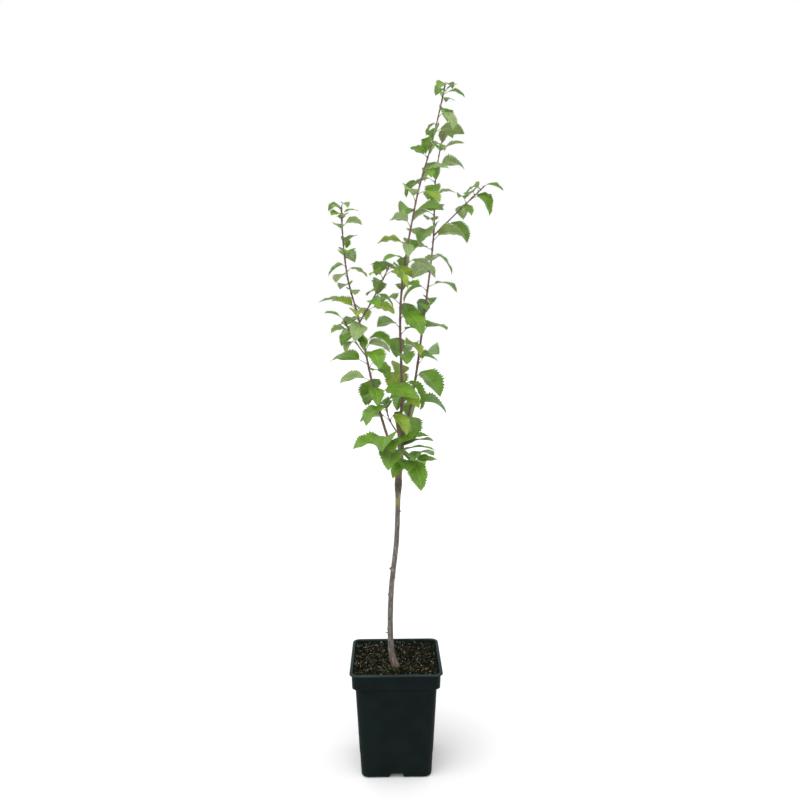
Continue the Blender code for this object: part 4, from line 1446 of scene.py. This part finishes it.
def blade_part(leaf, look, pattern, tooth_depth, wave):
    """The fine blade: toothed margin, fold, wave and raised veins."""
    length = leaf["length"]
    steps = np.linspace(0.0, 1.0, BLADE_ROWS)
    steps = steps - 0.05 * np.sin(2 * math.pi * steps) / math.pi
    shares = BLADE_FIRST + (BLADE_LAST - BLADE_FIRST) * steps
    joint, rib, across, above = leaf_frames(leaf, shares)
    slope = leaf["lift"] - leaf["droop"] * shares
    facing = leaf["heading"] + leaf["swing"]
    out = np.array((math.cos(facing), math.sin(facing), 0.0))
    along = np.outer(np.cos(slope), out) + np.outer(np.sin(slope), UP)
    turn = look["twist"] * shares
    side = np.cos(turn)[:, None] * across + np.sin(turn)[:, None] * above
    top = np.cos(turn)[:, None] * above - np.sin(turn)[:, None] * across

    half = length * fine_half_width(shares)
    columns = BLADE_COLUMNS
    edge = np.abs(columns)
    phase = np.where(columns > 0, look["phases"][0], look["phases"][1])
    teeth = np.array(look["teeth"]).reshape(2, BLADE_ROWS)
    teeth = np.where(columns[None, :] > 0, teeth[0][:, None], teeth[1][:, None])
    saw = TOOTH_PROFILE[np.arange(BLADE_ROWS) % 3][:, None]
    sleek = np.clip((shares - 0.05) / 0.12, 0, 1) * np.clip((0.97 - shares) / 0.10, 0, 1)
    bite = tooth_depth * teeth * saw * sleek[:, None] * (edge == 1.0)
    fold = FOLD + look["fold"]
    ragged = np.sin(2 * math.pi * 3.6 * shares[:, None] + 2.0 * phase) * 0.035 * edge**3
    reach = half[:, None] * edge * (1 + bite + ragged)
    sideways = np.sign(columns) * reach * math.cos(fold)
    upwards = reach * math.sin(fold) - half[:, None] * look["recurve"] * edge**2.4

    swing = np.sin(2 * math.pi * look["waves"] * shares[:, None] + phase)
    fade = np.sin(math.pi * np.clip(shares, 0, 1))[:, None] ** 0.5
    upwards = upwards + length * wave * look["wave"] * swing * edge**1.6 * fade
    vein = (shares[:, None] - VEIN_SWEEP * edge) * LATERAL_VEINS
    groove = np.exp(-(((vein - np.round(vein)) / 0.17) ** 2)) * (edge > 0.05) * (edge < 0.95)
    upwards = upwards - 0.0065 * length * groove * fade
    forward = length * 0.5 / BLADE_ROWS * (saw > 0.9) * (edge == 1.0) * sleek[:, None]

    middle = rib[:, None, :] + sideways[:, :, None] * side[:, None, :]
    middle = middle + upwards[:, :, None] * top[:, None, :] + forward[:, :, None] * along[:, None, :]
    thick = 0.0030 * length * (1.0 - 0.5 * edge)[None, :] * np.ones((BLADE_ROWS, 1))
    keel = 0.0095 * length * (1 - shares)[:, None] ** 0.7 * np.maximum(0.0, 1 - edge / 0.10)
    upper = middle + thick[:, :, None] * top[:, None, :]
    lower = middle - (thick + keel)[:, :, None] * top[:, None, :]
    u = np.broadcast_to((columns + 1) / 2, (BLADE_ROWS, len(columns)))
    v = np.broadcast_to(shares[:, None], (BLADE_ROWS, len(columns)))
    uv = np.stack((u, v), axis=-1).reshape(-1, 2)
    faces, slots = pattern
    return {
        "points": np.concatenate((upper.reshape(-1, 3), lower.reshape(-1, 3))),
        "faces": faces,
        "slots": slots,
        "uv": np.concatenate((uv, uv)),
    }


def stalk_part(leaf):
    """The leaf's stalk, bent from the shoot into the line of the midrib."""
    length = leaf["length"]
    joint, rib, _, above = leaf_frames(leaf, np.array((0.0, 0.05)))
    foot = leaf["foot"]
    out = np.array((math.cos(leaf["heading"]), math.sin(leaf["heading"]), 0.0))
    climb = math.cos(leaf["rise"]) * out + math.sin(leaf["rise"]) * UP
    reach = PETIOLE_SHARE * length
    ahead = (rib[1] - rib[0]) / np.linalg.norm(rib[1] - rib[0])
    x = np.linspace(0.0, 1.0, STALK_ROWS)[:, None]
    points = (
        (1 + 2 * x) * (1 - x) ** 2 * foot
        + x * (1 - x) ** 2 * reach * climb
        + x * x * (3 - 2 * x) * rib[1]
        + x * x * (x - 1) * reach * 0.7 * ahead
    )
    radii = STALK_RADIUS * (1.0 + 0.9 * (1 - x[:, 0]) ** 6) * (1.0 - 0.25 * x[:, 0])
    return tube_part(points, radii * min(1.2, 0.55 + length * 10.0), STALK_SIDES)


def tint_of(limb, share, rng):
    """Deals a tint to a leaf from the weights of its place in the crown."""
    for name, start, end, weights in TINT_WEIGHTS:
        if limb.startswith(name) and start <= share <= end:
            return rng.choices(TINTS, weights=weights)[0]
    return "mature"


# Operators


class PLUM_OT_pot(bpy.types.Operator):
    """Makes the square pot with its collar, lip, drain notches and holes"""

    bl_idname = "plum_tree.pot"
    bl_label = "Make pot"

    def execute(self, context):
        settings = context.scene.plum_tree
        pot = square_loft("square_pot", pot_rings(settings.wall_bow))
        cutters = []
        for side in range(4):
            cutters.append(notch_block(90.0 * side))
            cutters.append(drain_cutter(90.0 * side))
        cut_away(pot, cutters)
        smooth_shade(pot, 32.0)
        finish_piece(pot, [pot_material(settings.pot_colour)], ("pot",))
        return {"FINISHED"}


class PLUM_OT_mix(bpy.types.Operator):
    """Fills the pot with mix and strews crumbs, grit and moss on it"""

    bl_idname = "plum_tree.mix"
    bl_label = "Fill with potting mix"

    def execute(self, context):
        settings = context.scene.plum_tree
        colour = tuple(settings.mix_colour)
        body = make_mix_body()
        smooth_shade(body, 60.0)
        finish_piece(
            body, [earth_material("damp_mix", colour, 0.45, 1300.0)], ("potting_mix",)
        )
        looks = {
            "dark": (scaled(colour, 1.1), 0.6),
            "brown": ((0.046, 0.042, 0.024), 0.5),
            "pale": ((0.360, 0.350, 0.300), 0.25),
            "moss": (tuple(settings.moss_colour), 0.45),
            "rust": ((0.260, 0.100, 0.022), 0.3),
        }
        for kind, parts in make_crumbs(settings.crumb_count).items():
            crumbs = joined_object(f"crumbs_{kind}", parts)
            tint, spread = looks[kind]
            material = earth_material(f"crumb_{kind}", tint, spread, 1900.0)
            finish_piece(crumbs, [material])
        return {"FINISHED"}


class PLUM_OT_bark(bpy.types.Operator):
    """Grows the trunk and its boughs in one skin of bark"""

    bl_idname = "plum_tree.bark"
    bl_label = "Grow trunk and boughs"

    def execute(self, context):
        settings = context.scene.plum_tree
        bark = make_bark(settings.bark_relief)
        bark.data.shade_smooth()
        material = bark_material(tuple(settings.bark_colour), tuple(settings.shoot_colour))
        finish_piece(bark, [material], ("trunk", *BOUGHS))
        return {"FINISHED"}


class PLUM_OT_crown(bpy.types.Operator):
    """Grows the shoots, buds, stalks and leaves of every mass of foliage"""

    bl_idname = "plum_tree.crown"
    bl_label = "Grow crown"

    def execute(self, context):
        settings = context.scene.plum_tree
        crown = grow_crown()
        leaves = [leaf for mass in crown.values() for leaf in mass]
        shoots = []
        buds = []
        for limb in LIMBS:
            feet = [leaf["share"] for leaf in leaves if leaf["limb"] == limb]
            shoots.append(shoot_part(limb, feet))
        buds += [spur_part(*spur) for spur in SPURS]
        stalks = []
        blades = {tint: [] for tint in TINTS}
        pattern = blade_pattern()
        rng = random.Random(880)
        for number, leaf in enumerate(leaves):
            buds.append(bud_part(leaf, limb_radii(leaf["limb"], leaf["share"])))
            stalks.append(stalk_part(leaf))
            tint = tint_of(leaf["limb"], leaf["share"], rng)
            part = blade_part(leaf, leaf_look(number), pattern, settings.tooth_depth, settings.leaf_wave)
            blades[tint].append(part)
        colour = tuple(settings.shoot_colour)
        green = (0.105, 0.125, 0.040)
        joined = (
            ("young_shoots", shoots, "young_bark", shoot_material("shoot_bark", colour, scaled(colour, 0.7))),
            ("buds", buds, "young_bark", shoot_material("bud_scales", scaled(colour, 0.8), colour)),
            ("leaf_stalks", stalks, "leaf", shoot_material("stalk_skin", (0.130, 0.150, 0.045), green)),
        )
        for name, parts, slot, material in joined:
            piece = joined_object(name, parts)
            smooth_shade(piece, 50.0)
            finish_piece(piece, [material], tuple(MASSES) if name == "young_shoots" else ())
        under = tuple(settings.underside_colour)
        for tint in TINTS:
            upper = tuple(getattr(settings, f"{tint}_colour"))
            piece = joined_object(f"leaves_{tint}", blades[tint])
            smooth_shade(piece, 60.0)
            materials = [leaf_material(f"{tint}_leaf", upper, False)]
            materials.append(leaf_material(f"{tint}_leaf_under", blend(under, upper, 0.25), True))
            finish_piece(piece, materials)
        return {"FINISHED"}


class PLUM_OT_stage(bpy.types.Operator):
    """Lays the pale floor and sets the lights and the camera"""

    bl_idname = "plum_tree.stage"
    bl_label = "Set stage"

    def execute(self, context):
        bm = bmesh.new()
        bmesh.ops.create_circle(bm, cap_ends=True, segments=96, radius=30.0)
        bmesh.ops.translate(bm, verts=bm.verts, vec=(0.0, 0.0, -0.0004))
        floor = object_from(bm, "pale_floor")
        material, tree, shader = new_material("pale_floor", 0.9, 0.1)
        patches, _ = mottle(tree, object_coordinates(tree), 1.2, 60.0)
        tree.links.new(mixed(tree, patches, (0.95, 0.95, 0.95), (0.96, 0.96, 0.96)), shader.inputs["Base Color"])
        floor.data.materials.append(material)
        for name, energy, spread, turn in SUNS:
            light = bpy.data.lights.new(name, "SUN")
            light.energy = energy
            light.angle = math.radians(spread)
            lamp = bpy.data.objects.new(name, light)
            lamp.rotation_euler = [math.radians(angle) for angle in turn]
            context.scene.collection.objects.link(lamp)
        world = bpy.data.worlds.new("soft_studio")
        world.use_nodes = True
        context.scene.world = world
        background = world.node_tree.nodes["Background"]
        background.inputs["Color"].default_value = (1.0, 1.0, 1.0, 1.0)
        background.inputs["Strength"].default_value = WORLD_STRENGTH
        tree = world.node_tree
        seen = tree.nodes.new("ShaderNodeBackground")
        seen.inputs["Color"].default_value = (1.0, 1.0, 1.0, 1.0)
        path = tree.nodes.new("ShaderNodeLightPath")
        chooser = tree.nodes.new("ShaderNodeMixShader")
        tree.links.new(path.outputs["Is Camera Ray"], chooser.inputs[0])
        tree.links.new(background.outputs[0], chooser.inputs[1])
        tree.links.new(seen.outputs[0], chooser.inputs[2])
        tree.links.new(chooser.outputs[0], tree.nodes["World Output"].inputs["Surface"])
        context.scene.view_settings.view_transform = "Standard"
        camera_data = bpy.data.cameras.new("camera")
        camera_data.sensor_fit = "HORIZONTAL"
        camera_data.sensor_width = 36.0
        camera_data.lens = 34.0
        camera = bpy.data.objects.new("camera", camera_data)
        camera.matrix_world = camera_place()
        context.scene.collection.objects.link(camera)
        context.scene.camera = camera
        return {"FINISHED"}


def camera_place():
    """Where the camera stands and how it is turned: pan, then pitch, then roll."""
    pan, pitch, roll = (math.radians(angle) for angle in CAMERA_TURN)
    right = Vector((math.cos(pan), -math.sin(pan), 0.0))
    ahead = Vector((math.sin(pan) * math.cos(pitch), math.cos(pan) * math.cos(pitch), -math.sin(pitch)))
    up = right.cross(ahead)
    rolled_right = right * math.cos(roll) + up * math.sin(roll)
    rolled_up = up * math.cos(roll) - right * math.sin(roll)
    place = Matrix((rolled_right, rolled_up, -ahead)).transposed().to_4x4()
    place.translation = Vector(CAMERA_PLACE)
    return place


class PLUM_PT_panel(bpy.types.Panel):
    """Lists the steps that make the tree."""

    bl_label = "Plum tree"
    bl_idname = "PLUM_PT_panel"
    bl_space_type = "VIEW_3D"
    bl_region_type = "UI"
    bl_category = "Plum tree"

    def draw(self, context):
        settings = context.scene.plum_tree
        for name in PlumTreeSettings.__annotations__:
            self.layout.prop(settings, name)
        for step in OPERATORS:
            self.layout.operator(step.bl_idname)


OPERATORS = (PLUM_OT_pot, PLUM_OT_mix, PLUM_OT_bark, PLUM_OT_crown, PLUM_OT_stage)
CLASSES = (PlumTreeSettings, *OPERATORS, PLUM_PT_panel)


def register():
    for item in CLASSES:
        bpy.utils.register_class(item)
    bpy.types.Scene.plum_tree = PointerProperty(type=PlumTreeSettings)


def unregister():
    del bpy.types.Scene.plum_tree
    for item in reversed(CLASSES):
        bpy.utils.unregister_class(item)


def main():
    register()
    bpy.ops.plum_tree.pot()
    bpy.ops.plum_tree.mix()
    bpy.ops.plum_tree.bark()
    bpy.ops.plum_tree.crown()
    bpy.ops.plum_tree.stage()


if __name__ == "__main__":
    main()
